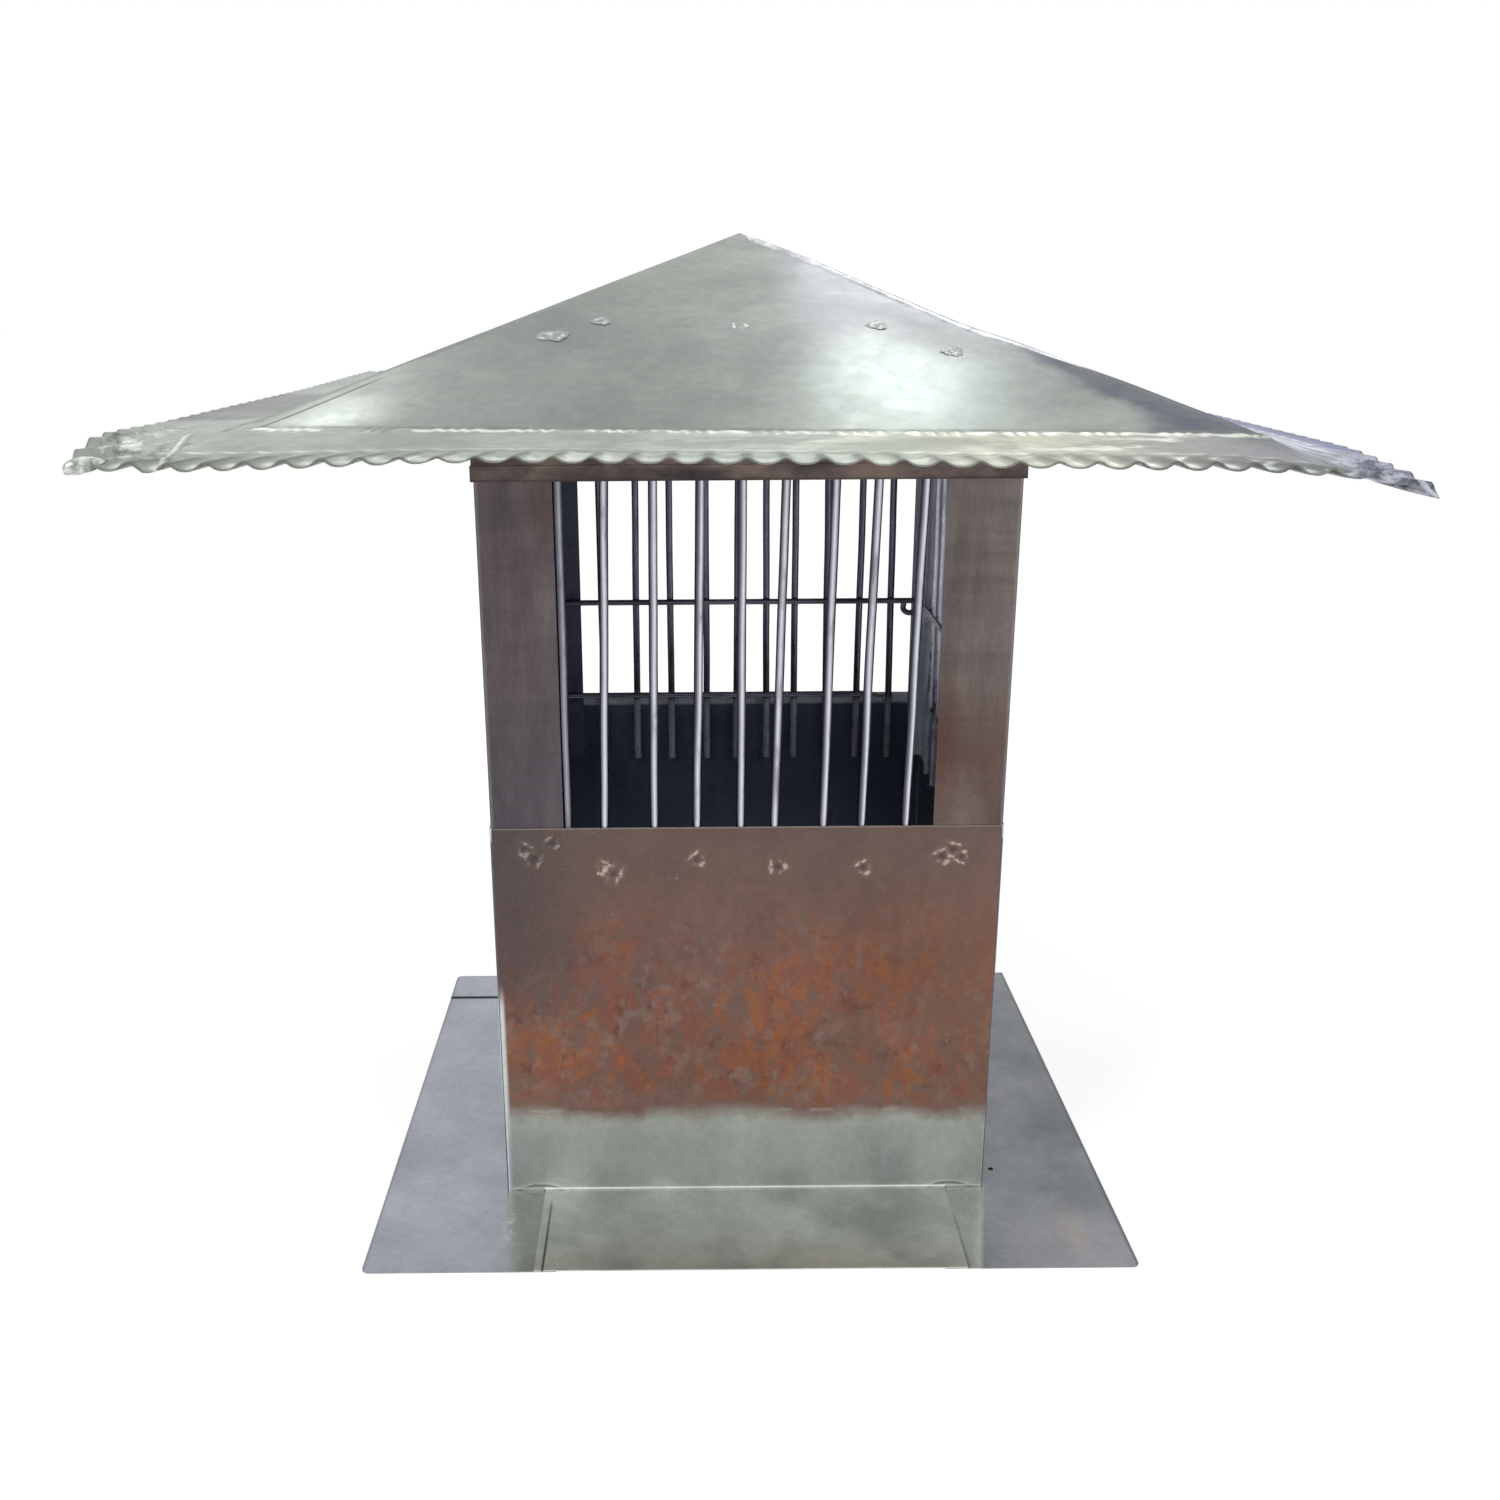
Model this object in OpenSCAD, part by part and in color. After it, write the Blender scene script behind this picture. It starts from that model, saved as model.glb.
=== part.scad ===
// Square chimney cap: a barred galvanised box on a flashing flange, under a hipped roof with a crimped eave.
// X runs to the right, Y to the back and Z up. Z is 0 at the flange's underside, on the body's axis.

/* [Body] */
// Width of the square body over its corner posts
body_w = 350; // [250:1:500]
// Height of the lower walls' top edge above the seat
wall_top = 285; // [150:1:400]
// Height of the barred opening, from the walls to the collar
window_h = 234; // [120:1:320]
// Height of the collar, from the opening to the roof
collar_h = 83; // [60:1:120]
// Thickness of every sheet
sheet_t = 0.8; // [0.5:0.1:1.2]
// Outer radius of the folds in the posts
bend_r = 2.5; // [1.6:0.1:4]

/* [Posts] */
// Width of each leg of the corner posts
post_leg = 50; // [30:1:70]
// Width of the front right post's leg on the front, which is cut narrower
front_right_leg = 48; // [30:1:70]
// Width of the back left post's leg on the back, which is cut narrower
back_left_leg = 41; // [30:1:60]
// Width of the back right post's leg on the back, which is only a return
back_right_leg = 14; // [8:1:20]
// How far the posts and bars run down behind the walls
wall_lap = 60; // [30:1:100]

/* [Collar] */
// Width of the collar's flange under the roof
collar_flange_w = 40; // [20:1:60]
// Height of the hem folded outwards at the collar's lower edge
collar_hem_h = 10; // [5:1:15]

/* [Bars] */
// Diameter of the upright bars
bar_d = 6; // [4:0.5:8]
// Usual distance from a post's edge to the axis of the nearest bar
bar_edge_gap = 9; // [7:1:20]
// How far the bars run up behind the collar
bar_top_lap = 50; // [20:1:55]
// Diameter of the ring rods
rod_d = 5; // [3:0.5:6]
// Height of the upper ring rods above the walls' top edge
upper_rod_h = 86; // [40:1:110]
// Inner radius of the eye rolled at a rod's end
eye_r = 3; // [2:0.5:6]
// Distance from the body's corners to the ends of the back rods
back_rod_gap = 17; // [14:1:40]
// How far the side rods run on behind the posts
side_rod_lap = 4; // [0:1:20]
// Length of the lower rod's bent end
bent_end_w = 12; // [6:1:16]
// How far the lower rod's end is bent down
bent_end_drop = 4.5; // [0:0.5:10]

/* [Roof] */
// Half width of the roof at its eave
roof_half = 351; // [250:1:450]
// Slope of the main faces, in degrees
roof_slope = 21.9; // [12:0.1:35]
// Width of the flatter border round the main faces
border_w = 65; // [40:1:90]
// Slope of that border, in degrees
border_slope = 9; // [2:0.5:12]
// Width of the crimped lip at the border's edge
lip_w = 25; // [12:1:35]
// Slope of the lip, in degrees
lip_slope = 6; // [0:0.5:12]
// Distance between two crimps
crimp_pitch = 20; // [14:1:30]
// Height of a crimp from crest to hollow at the edge
crimp_h = 3.4; // [1:0.1:6]
// Turn of the roof about the body's axis, in degrees, because it was set by hand
roof_twist = -1.2; // [-2:0.1:2]
// Tilt of the roof about its apex, in degrees, with the right side down
roof_tilt = 0.6; // [-1:0.1:1]
// How far the front eave is bent up, by hand
front_lift = -2; // [-10:1:12]
// How far the right eave is bent up
right_lift = -3; // [-10:1:12]
// How far the left eave is bent up
left_lift = 7; // [-10:1:12]
// How far the front left tip is bent up
front_left_lift = -4; // [-16:1:12]
// How far the front right tip is bent up
front_right_lift = -10; // [-16:1:12]

/* [Flange] */
// Reach of the flange in front of the body
flange_front = 95; // [50:1:150]
// Reach of the flange on the left and on the right
flange_side = 89; // [50:1:150]
// Reach of the flange behind the body
flange_back = 5; // [3:1:120]
// Width of the front tab that is folded out of the front wall
front_tab_w = 294; // [200:1:320]
// Overlap of two flange sheets
flange_lap = 15; // [10:1:25]
// Width of the back sheet beside the body
back_sheet_w = 44; // [30:1:80]
// Width of the slits beside the front tab
tab_slit = 1; // [0.5:0.5:5]
// Height of the lips that fasten the flange sheets to the walls
lip_h = 15; // [10:1:30]
// Radius of the flange's outer corners
flange_corner_r = 5; // [2:1:12]
// Diameter of the nail hole in the right flange sheet
nail_hole_d = 4; // [3:0.5:6]
// Distance of the nail hole from the right wall
nail_hole_out = 11; // [6:1:60]
// Distance of the nail hole behind the front of the body
nail_hole_in = 22; // [10:1:150]

/* [Hidden] */
$fn = 48;
half = body_w / 2;                        // outer face of the posts, inner face of the walls
window_top = wall_top + window_h;
slope = tan(roof_slope);
steep_t = sheet_t / cos(roof_slope);      // upright thickness of a sheet on the main slope
apex_z = window_top + collar_h + (half + sheet_t) * slope + steep_t;
crease_half = roof_half - border_w;
crease_z = apex_z - crease_half * slope;
crimps = round(2 * roof_half / crimp_pitch);
crimp_steps = 6;                          // straight pieces in one crimp
side_steps = crimps * crimp_steps;
corner_power = 8;                         // how quickly a bent tip dies out along the eave
lip_share = (border_w - lip_w) / border_w; // how much of the eave's bend the lip's start takes
head_gap = 4;                             // least room between the posts' heads and the collar's flange
roof_gap = 0.2;                           // room between the collar's flange and the roof

flange_x = half + flange_side;
flange_y_front = half + flange_front;
flange_y_back = half + flange_back;
fold_r = bend_r - sheet_t;                // inner radius of the front tab's fold
nail_hole_at = [half + nail_hole_out, -half + nail_hole_in];
fold_z = 2 * sheet_t + fold_r;            // where the front wall ends and its fold begins

bar_pitch = (half - post_leg - bar_edge_gap) / 4;
bar_r = half - bar_d / 2;                 // bars lie against the walls and the collar
rod_r = half - bar_d - rod_d / 2;         // ring rods lie inside the bars
upper_rod_z = wall_top + upper_rod_h;
lower_rod_z = wall_top + 1;
rod_half = half - back_rod_gap;
side_rod_half = half - post_leg + side_rod_lap;
eye_turn = 315;                           // how far an eye is rolled round, in degrees

// Each bar: [step from the window's middle in pitches, shift at the foot, shift at the top],
// because the hand-set bars stand a little out of line
front_bars = [[-4, -6, -6], [-3, -10, -5], [-2, -5, -3], [-1, -5, -2], [0, -4, -4],
              [1, -10, -5], [2, -6, -2], [3, -9, -4], [4, -8, -3]];
back_bars = [[-5, 2, 4], [-4, 2, 1], [-3, 1, 3], [-2, 1, 2], [-1, -3, -1],
             [0, -5, -6], [1, -7, -6], [2, -4, -3], [3, -2, -3], [4, -1, 0]];
right_bars = [[-4, 2, 1], [-3, -1, 0], [-2, 2, 3], [-1, 0, -1], [0, 2, 1],
              [1, -1, 2], [2, 1, 0], [3, 0, 3], [4, 3, 2]];
left_bars = [[-4, -1, 0], [-3, 1, 2], [-2, 0, -2], [-1, 2, 1], [0, -1, 1],
             [1, 2, 0], [2, 0, 2], [3, -2, -1], [4, 0, -1]];

// The four sides: name, turn about the body's axis and bars
SIDES = [["front", 0, front_bars], ["right", 90, right_bars],
         ["back", 180, back_bars], ["left", 270, left_bars]];

function bar_name(side, i) = str(side[0], "_bar_", i + 1);

zinc_green = [0.63, 0.67, 0.62];
zinc_blue = [0.58, 0.61, 0.65];
zinc_brown = [0.42, 0.38, 0.36];
rust_brown = [0.48, 0.37, 0.31];
rod_grey = [0.62, 0.63, 0.67];

// Roof

// Height of the roof's underside, at a distance from the axis, on the main slope
function under_roof(r) = apex_z - steep_t - r * slope;

// Corner s, counted from the front left, round to the right
function corner_sign(s) = [[-1, -1], [1, -1], [1, 1], [-1, 1]][s];
side_lifts = [front_lift, right_lift, 0, left_lift];
corner_lifts = [front_left_lift, front_right_lift, right_lift, left_lift];

// How far the eave is bent up on side s, at a share t of the way along it
function eave_lift(s, t) =
    let (corner = corner_lifts[t < 0.5 ? s : (s + 1) % 4])
    side_lifts[s] + (corner - side_lifts[s]) * pow(abs(2 * t - 1), corner_power);

// A point at step i along the square ring of half width r, raised to z, with a share of the eave's bend
// and a crimp of a given height
function ring_point(r, z, i, share, crimp) =
    let (s = floor(i / side_steps), t = (i % side_steps) / side_steps,
         u = r * (2 * t - 1),
         p = s == 0 ? [u, -r] : s == 1 ? [r, u] : s == 2 ? [-u, r] : [-r, -u])
    [p[0], p[1], z + share * eave_lift(s, t) + crimp / 2 * cos(360 * crimps * t)];

function ring(r, z, share, crimp) = [for (i = [0 : 4 * side_steps - 1]) ring_point(r, z, i, share, crimp)];
function corners(r, z) = [for (s = [0 : 3]) let (g = corner_sign(s)) [r * g[0], r * g[1], z]];

module roof_sheet() {
    lip_z = crease_z - (border_w - lip_w) * tan(border_slope);
    top = concat([[0, 0, apex_z]], corners(crease_half, crease_z),
                 ring(roof_half - lip_w, lip_z, lip_share, crimp_h / 8),
                 ring(roof_half, lip_z - lip_w * tan(lip_slope), 1, crimp_h));
    n = 4 * side_steps;
    m = len(top);
    mid = floor(side_steps / 2);
    inner = [for (i = [0 : n]) 5 + i % n];
    outer = [for (i = [0 : n]) 5 + n + i % n];
    upper = concat(
        [for (s = [0 : 3]) [0, 1 + (s + 1) % 4, 1 + s]],
        [for (s = [0 : 3]) for (i = [0 : side_steps - 1])
            [1 + (i < mid ? s : (s + 1) % 4), inner[s * side_steps + i + 1], inner[s * side_steps + i]]],
        [for (s = [0 : 3]) [1 + s, 1 + (s + 1) % 4, inner[s * side_steps + mid]]],
        [for (i = [0 : n - 1]) [inner[i], inner[i + 1], outer[i]]],
        [for (i = [0 : n - 1]) [inner[i + 1], outer[i + 1], outer[i]]]);
    lower = [for (f = upper) [f[2] + m, f[1] + m, f[0] + m]];
    rim = concat([for (i = [0 : n - 1]) [outer[i], outer[i + 1], outer[i] + m]],
                 [for (i = [0 : n - 1]) [outer[i + 1], outer[i + 1] + m, outer[i] + m]]);
    polyhedron(points = concat(top, [for (p = top) [p[0], p[1], p[2] - steep_t]]),
               faces = concat(upper, lower, rim), convexity = 6);
}

// Turned and tilted about the apex, as the roof is set on the collar
module set_by_hand() {
    translate([0, 0, apex_z]) rotate([0, roof_tilt, roof_twist]) translate([0, 0, -apex_z]) children();
}

module roof() {
    color(zinc_green) set_by_hand() roof_sheet();
}

// Space above the main slope's underside, lowered by drop, out to the crease
module space_above_roof(drop) {
    low = under_roof(crease_half) - drop;
    set_by_hand() rotate(45) difference() {
        translate([0, 0, low]) cylinder(h = apex_z - low + 1, r = crease_half * sqrt(2), $fn = 4);
        translate([0, 0, low - drop - 1])
            cylinder(h = under_roof(0) - low + 1, r1 = (crease_half + (drop + 1) / slope) * sqrt(2), r2 = 0, $fn = 4);
    }
}

// Square ring about the axis between two half widths, from height low to height high
module square_ring(inner, outer, low, high) {
    translate([0, 0, low]) linear_extrude(high - low) difference() {
        square(2 * outer, center = true);
        square(2 * inner, center = true);
    }
}

// Collar round the tops of the posts, with its hem and with its flange turned in under the roof
module top_collar() {
    outer = half + sheet_t;
    flange_edge = half - collar_flange_w;
    uncut_top = under_roof(flange_edge) + head_gap;
    color(zinc_brown) difference() {
        union() {
            square_ring(half, outer, window_top, uncut_top);
            square_ring(flange_edge, outer, window_top + collar_hem_h, uncut_top);
            square_ring(half, outer + sheet_t, window_top, window_top + collar_hem_h);
        }
        difference() {
            translate([0, 0, window_top - 1]) linear_extrude(apex_z) square(2 * half, center = true);
            space_above_roof(roof_gap + steep_t);
        }
        space_above_roof(roof_gap);
    }
}

// Posts

// Section of a folded angle with its outer corner at the origin and legs along X and Y
module angle_section(leg_x, leg_y) {
    translate([bend_r, 0]) square([leg_x - bend_r, sheet_t]);
    translate([0, bend_r]) square([sheet_t, leg_y - bend_r]);
    intersection() {
        square(bend_r);
        translate([bend_r, bend_r]) difference() {
            circle(bend_r);
            circle(bend_r - sheet_t);
        }
    }
}

// A post at a corner that is turned from the front left one, with its leg along the side it is turned to first
module post(turn, leg_x, leg_y) {
    foot = wall_top - wall_lap;
    head = under_roof(half) - steep_t - head_gap;
    color(zinc_brown) rotate(turn) translate([-half, -half, foot])
        linear_extrude(head - foot) angle_section(leg_x, leg_y);
}

module front_left_post() { post(0, post_leg, post_leg); }
module front_right_post() { post(90, post_leg, front_right_leg); }
module back_right_post() { post(180, back_right_leg, post_leg); }
module back_left_post() { post(270, post_leg, back_left_leg); }

// Lower box and flange

module rounded_square(h, r) {
    square([2 * h, 2 * (h - r)], center = true);
    square([2 * (h - r), 2 * h], center = true);
    for (x = [-1, 1]) for (y = [-1, 1]) translate([x * (h - r), y * (h - r)]) circle(r);
}

// Side view of the tab folded forwards out of the front wall, with Y along X and Z along Y
module tab_section() {
    wall_y = -half - sheet_t;
    translate([wall_y, fold_z - fold_r / 2]) square([sheet_t, fold_r]);
    translate([-flange_y_front, sheet_t]) square([flange_y_front + wall_y - fold_r, sheet_t]);
    intersection() {
        translate([wall_y - fold_r, sheet_t]) square([fold_r + sheet_t, fold_r + sheet_t]);
        translate([wall_y - fold_r, fold_z]) difference() {
            circle(fold_r + sheet_t);
            circle(fold_r);
        }
    }
}

// The four lower walls and the front tab, folded from one sheet
module lower_box() {
    color(rust_brown) {
        difference() {
            translate([0, 0, sheet_t]) linear_extrude(wall_top - sheet_t) difference() {
                rounded_square(half + sheet_t, bend_r + sheet_t);
                rounded_square(half, bend_r);
            }
            translate([-front_tab_w / 2 - tab_slit, -half - 2 * sheet_t, 0])
                cube([front_tab_w + 2 * tab_slit, 3 * sheet_t, fold_z]);
        }
        translate([-front_tab_w / 2, 0, 0]) rotate([90, 0, 90])
            linear_extrude(front_tab_w) tab_section();
        // the sheet's end, lapped over the back wall beside the back left corner
        translate([-half, half + sheet_t, flange_lap + 2 * sheet_t])
            cube([flange_lap + bend_r, sheet_t, wall_top - flange_lap - 2 * sheet_t]);
    }
}

// A sheet from corner a to corner b, with its corner at a rounded towards b
module sheet_with_round_corner(a, b, r) {
    to = [sign(b[0] - a[0]), sign(b[1] - a[1])];
    difference() {
        polygon([a, [b[0], a[1]], b, [a[0], b[1]]]);
        polygon([a, [a[0] + to[0] * r, a[1]], [a[0] + to[0] * r, a[1] + to[1] * r], [a[0], a[1] + to[1] * r]]);
    }
    translate([a[0] + to[0] * r, a[1] + to[1] * r]) circle(r);
}

// Plan of a side's flange sheet: it runs along the wall and on under the front tab
module side_plan(side, back_y) {
    tab_edge = side * (front_tab_w / 2 - flange_lap);
    union() {
        sheet_with_round_corner([side * flange_x, -flange_y_front],
                                [side * half, back_y], flange_corner_r);
        polygon([[side * half, -flange_y_front], [tab_edge, -flange_y_front],
                 [tab_edge, -half], [side * half, -half]]);
    }
}

// Lip turned up inside a side wall
module side_lip(side, back_y) {
    inner = side > 0 ? half - sheet_t : -half;
    translate([inner, -half + 2 * bend_r, 0]) cube([sheet_t, half - 2 * bend_r + back_y, lip_h]);
}

module left_flange() {
    back_y = flange_y_back - back_sheet_w + flange_lap;
    color(zinc_blue) {
        linear_extrude(sheet_t) side_plan(-1, back_y);
        side_lip(-1, back_y - flange_lap);
    }
}

module right_flange() {
    color(zinc_blue) {
        difference() {
            linear_extrude(sheet_t) side_plan(1, flange_y_back);
            translate([nail_hole_at[0], nail_hole_at[1], -1]) cylinder(d = nail_hole_d, h = sheet_t + 2);
        }
        side_lip(1, half - 2 * bend_r);
    }
}

// The back sheet lies over both side sheets and is lipped up outside the back wall
module back_flange() {
    wall_y = half + sheet_t;
    color(zinc_blue) {
        translate([0, 0, sheet_t]) linear_extrude(sheet_t) {
            sheet_with_round_corner([-flange_x, flange_y_back], [-half - sheet_t, flange_y_back - back_sheet_w],
                                    min(flange_corner_r, flange_back));
            translate([-half - sheet_t, wall_y])
                square([2 * half + 2 * sheet_t + flange_lap, flange_y_back - wall_y]);
        }
        translate([-half + bend_r, wall_y, sheet_t])
            cube([2 * half - 2 * bend_r, sheet_t, lip_h - sheet_t]);
    }
}

// Bars and ring rods

// A round rod between two points
module rod(a, b, d) {
    v = b - a;
    length = norm(v);
    translate(a) rotate([0, acos(v[2] / length), atan2(v[1], v[0])]) cylinder(d = d, h = length);
}

// Bar i of a side. Its shifts are where it stands at the walls' and the collar's edges
module bar(side, i) {
    b = side[2][i];
    low = b[0] * bar_pitch + b[1];
    high = b[0] * bar_pitch + b[2];
    lean = (high - low) / window_h;
    color(rod_grey) rotate(side[1])
        rod([low - lean * wall_lap, -bar_r, wall_top - wall_lap],
            [high + lean * bar_top_lap, -bar_r, window_top + bar_top_lap], bar_d);
}

// Rod along X at height z, from -reach to reach, with an eye rolled downwards at its left end
module eyed_rod(reach, z) {
    centre_r = eye_r + rod_d / 2;
    rod([-reach, rod_r, z], [reach, rod_r, z], rod_d);
    translate([-reach, rod_r, z - centre_r]) rotate([90, 0, 0]) rotate(90)
        rotate_extrude(angle = eye_turn) translate([centre_r, 0]) circle(d = rod_d);
}

module back_upper_rod() {
    color(rod_grey) mirror([1, 0, 0]) eyed_rod(rod_half, upper_rod_z);
}

// The lower rod lies at the back wall's edge, and its right end is bent down
module back_lower_rod() {
    bend_x = half - post_leg;
    color(rod_grey) {
        rod([-rod_half, rod_r, lower_rod_z], [bend_x, rod_r, lower_rod_z], rod_d);
        translate([bend_x, rod_r, lower_rod_z]) sphere(d = rod_d);
        rod([bend_x, rod_r, lower_rod_z], [bend_x + bent_end_w, rod_r, lower_rod_z - bent_end_drop], rod_d);
    }
}

// The side rods have their eyes at the back
module right_rod() {
    color(rod_grey) rotate(-90) eyed_rod(side_rod_half, upper_rod_z);
}

module left_rod() {
    color(rod_grey) mirror([1, 0, 0]) rotate(-90) eyed_rod(side_rod_half, upper_rod_z);
}

roof();
top_collar();
front_left_post();
front_right_post();
back_right_post();
back_left_post();
lower_box();
left_flange();
right_flange();
back_flange();
back_upper_rod();
back_lower_rod();
right_rod();
left_rod();
for (side = SIDES) for (i = [0 : len(side[2]) - 1])
    bar(side, i);
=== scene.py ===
"""Looks of a square chimney cap: galvanised sheets with their stains and painted light and shade, the crimped roof, the
bars and their welds.
"""

import math

import bpy
import numpy as np
from mathutils import Matrix, Vector

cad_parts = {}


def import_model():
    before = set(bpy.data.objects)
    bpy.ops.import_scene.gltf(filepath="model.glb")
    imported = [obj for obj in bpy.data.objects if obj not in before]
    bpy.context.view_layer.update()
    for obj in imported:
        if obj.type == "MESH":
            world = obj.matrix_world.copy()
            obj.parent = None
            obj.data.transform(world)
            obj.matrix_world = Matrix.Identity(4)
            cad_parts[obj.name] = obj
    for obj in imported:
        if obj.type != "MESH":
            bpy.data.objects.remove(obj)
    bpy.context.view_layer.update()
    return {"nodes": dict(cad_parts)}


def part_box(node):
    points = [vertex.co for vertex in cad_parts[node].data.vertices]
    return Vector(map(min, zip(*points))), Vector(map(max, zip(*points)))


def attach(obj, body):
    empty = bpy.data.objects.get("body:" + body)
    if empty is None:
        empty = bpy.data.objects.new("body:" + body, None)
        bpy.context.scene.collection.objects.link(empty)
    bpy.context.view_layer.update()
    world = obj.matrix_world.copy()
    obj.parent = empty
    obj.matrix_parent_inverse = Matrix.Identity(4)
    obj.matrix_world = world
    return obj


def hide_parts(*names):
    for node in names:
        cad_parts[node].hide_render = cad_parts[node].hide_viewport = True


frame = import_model()

# Sizes of the frame, in metres
HALF = 0.175
SHEET = 0.0008
WALL_TOP = 0.285
WINDOW_TOP = 0.519
BAR_R = 0.003
BAR_SWAY = 0.0015
BEAD_R = 0.0030
BAR_Y = 0.172
ROD_Y = 0.1665
UPPER_ROD_Z = 0.371
LOWER_ROD_Z = 0.286
ROOF_HALF = 0.351
CREASE_HALF = 0.286
LIP_W = 0.025
SLOPE = math.tan(math.radians(21.9))
BORDER_SLOPE = math.tan(math.radians(9))
LIP_SLOPE = math.tan(math.radians(6))
APEX_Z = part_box("roof")[1].z
ROOF_SET = (Matrix.Translation((0, 0, APEX_Z)) @ Matrix.Rotation(math.radians(-1.2), 4, "Z")
            @ Matrix.Rotation(math.radians(0.6), 4, "Y") @ Matrix.Translation((0, 0, -APEX_Z)))
CRIMPS = 35
CRIMP_H = 0.0036
HIP_SAG = 0.0032
SPANGLE = 0.011


def paint(r, g, b):
    """A colour as it looks, 0 to 255, as the shader's own numbers."""
    return tuple(c / 3294.6 if c <= 10 else ((c / 255 + 0.055) / 1.055) ** 2.4 for c in (r, g, b)) + (1.0,)


class Nodes:
    """A node tree and short calls that add to it."""

    def __init__(self, tree):
        self.tree = tree

    def node(self, kind, inputs=None, **settings):
        made = self.tree.nodes.new(kind)
        for key, value in settings.items():
            setattr(made, key, value)
        for key, value in (inputs or {}).items():
            self.feed(made.inputs[key], value)
        return made

    def out(self, kind, inputs=None, **settings):
        return self.node(kind, inputs, **settings).outputs[0]

    def feed(self, socket, value):
        if isinstance(value, bpy.types.NodeSocket):
            self.tree.links.new(value, socket)
        else:
            socket.default_value = value

    def math(self, operation, a, b=0.0):
        return self.out("ShaderNodeMath", {0: a, 1: b}, operation=operation)


class Finish(Nodes):
    """A material and short calls that add to its nodes."""

    def __init__(self, name, metallic=0.6, roughness=0.4):
        self.material = bpy.data.materials.new(name)
        self.material.use_nodes = True
        super().__init__(self.material.node_tree)
        self.shader = self.tree.nodes["Principled BSDF"]
        self.shader.inputs["Metallic"].default_value = metallic
        self.shader.inputs["Roughness"].default_value = roughness
        self.place = self.node("ShaderNodeTexCoord").outputs["Object"]
        split = self.node("ShaderNodeSeparateXYZ", {0: self.place})
        self.xyz = tuple(split.outputs)

    def times(self, a, b):
        return self.math("MULTIPLY", a, b)

    def plus(self, a, b):
        return self.math("ADD", a, b)

    def less(self, a, b):
        return self.math("SUBTRACT", a, b)

    def larger(self, a, b):
        return self.math("MAXIMUM", a, b)

    def unsigned(self, a):
        return self.math("ABSOLUTE", a)

    def span(self, value, low, high, to_low=0.0, to_high=1.0, smooth=True):
        """Value from low to high, as a number from to_low to to_high."""
        kind = "SMOOTHSTEP" if smooth else "LINEAR"
        inputs = {"Value": value, "From Min": low, "From Max": high, "To Min": to_low, "To Max": to_high}
        return self.out("ShaderNodeMapRange", inputs, interpolation_type=kind)

    def cloud(self, scale, detail=4.0, stretch=(1, 1, 1), rough=0.55, shift=(0, 0, 0)):
        """Soft noise from 0 to 1, with its cells stretched along an axis."""
        at = self.out("ShaderNodeMapping", {"Vector": self.place, "Scale": stretch, "Location": shift})
        inputs = {"Vector": at, "Scale": scale, "Detail": detail, "Roughness": rough}
        return self.node("ShaderNodeTexNoise", inputs).outputs["Fac"]

    def spangle(self, size):
        """Zinc crystals: one even random number in each cell."""
        cells = self.node("ShaderNodeTexVoronoi", {"Vector": self.place, "Scale": 1 / size})
        return self.out("ShaderNodeSeparateColor", {0: cells.outputs["Color"]})

    def ramp(self, value, stops):
        made = self.node("ShaderNodeValToRGB", {0: value})
        points = made.color_ramp.elements
        while len(points) < len(stops):
            points.new(0.5)
        for point, (at, colour) in zip(points, stops):
            point.position, point.color = at, paint(*colour)
        return made.outputs[0]

    def mix(self, share, a, b, blend="MIX"):
        made = self.node("ShaderNodeMix", data_type="RGBA", blend_type=blend)
        for label, kind, value in (("Factor", "VALUE", share), ("A", "RGBA", a), ("B", "RGBA", b)):
            self.feed(next(s for s in made.inputs if s.name == label and s.type == kind), value)
        return next(s for s in made.outputs if s.type == "RGBA")

    def lay(self, under, where, colour, share=None):
        """A colour from 0 to 255 laid over what is under it, where the mask is 1 and no more than share."""
        if share is not None:
            where = self.times(where, share)
        return self.mix(where, under, paint(*colour))

    def near(self, value, at, width):
        """1 where value is at, down to 0 at a distance of width."""
        gap = self.unsigned(self.less(value, at))
        return self.span(gap, 0.0, width, 1.0, 0.0)

    def colour(self, socket):
        self.feed(self.shader.inputs["Base Color"], socket)

    def rough(self, socket):
        self.feed(self.shader.inputs["Roughness"], socket)

    def metal(self, socket):
        self.feed(self.shader.inputs["Metallic"], socket)

    def bump(self, *layers):
        """Layers of (height from 0 to 1, depth in metres), from the coarsest to the finest."""
        normal = None
        for height, depth in layers:
            inputs = {"Height": height, "Distance": depth, "Strength": 1.0}
            if normal is not None:
                inputs["Normal"] = normal
            normal = self.out("ShaderNodeBump", inputs)
        self.feed(self.shader.inputs["Normal"], normal)


def zinc_skin(finish, base, spangle_share=0.06, streak=(1, 1, 1), rough=(0.28, 0.46),
              wave=0.0012, grain=0.0002, flake=1.0):
    """Crystals, clouds, fine rolling lines and scuffs over a base colour."""
    crystals = finish.span(finish.spangle(SPANGLE), 0, 1, 1 - spangle_share, 1 + spangle_share, smooth=False)
    clouds = finish.span(finish.cloud(9, 6, streak), 0.25, 0.75, 0.88, 1.11)
    lines = finish.span(finish.cloud(160, 3, streak), 0.3, 0.7, 0.95, 1.05)
    level = finish.times(finish.times(crystals, clouds), lines)
    scuffs = finish.span(finish.cloud(300, 2, streak, 0.7), 0.68, 0.78, 0.0, 0.22)
    grey = finish.out("ShaderNodeCombineColor", {0: level, 1: level, 2: level})
    toned = finish.mix(1.0, base, grey, "MULTIPLY")
    finish.colour(finish.mix(scuffs, toned, paint(190, 192, 190)))
    worn = finish.plus(finish.cloud(14, 5, streak), finish.times(finish.spangle(SPANGLE), flake))
    finish.rough(finish.span(worn, 0.3, 0.7 + flake, *rough))
    finish.bump((finish.cloud(5, 2), wave), (finish.cloud(60, 3), grain), (finish.cloud(700, 2), 0.00003))


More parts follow.
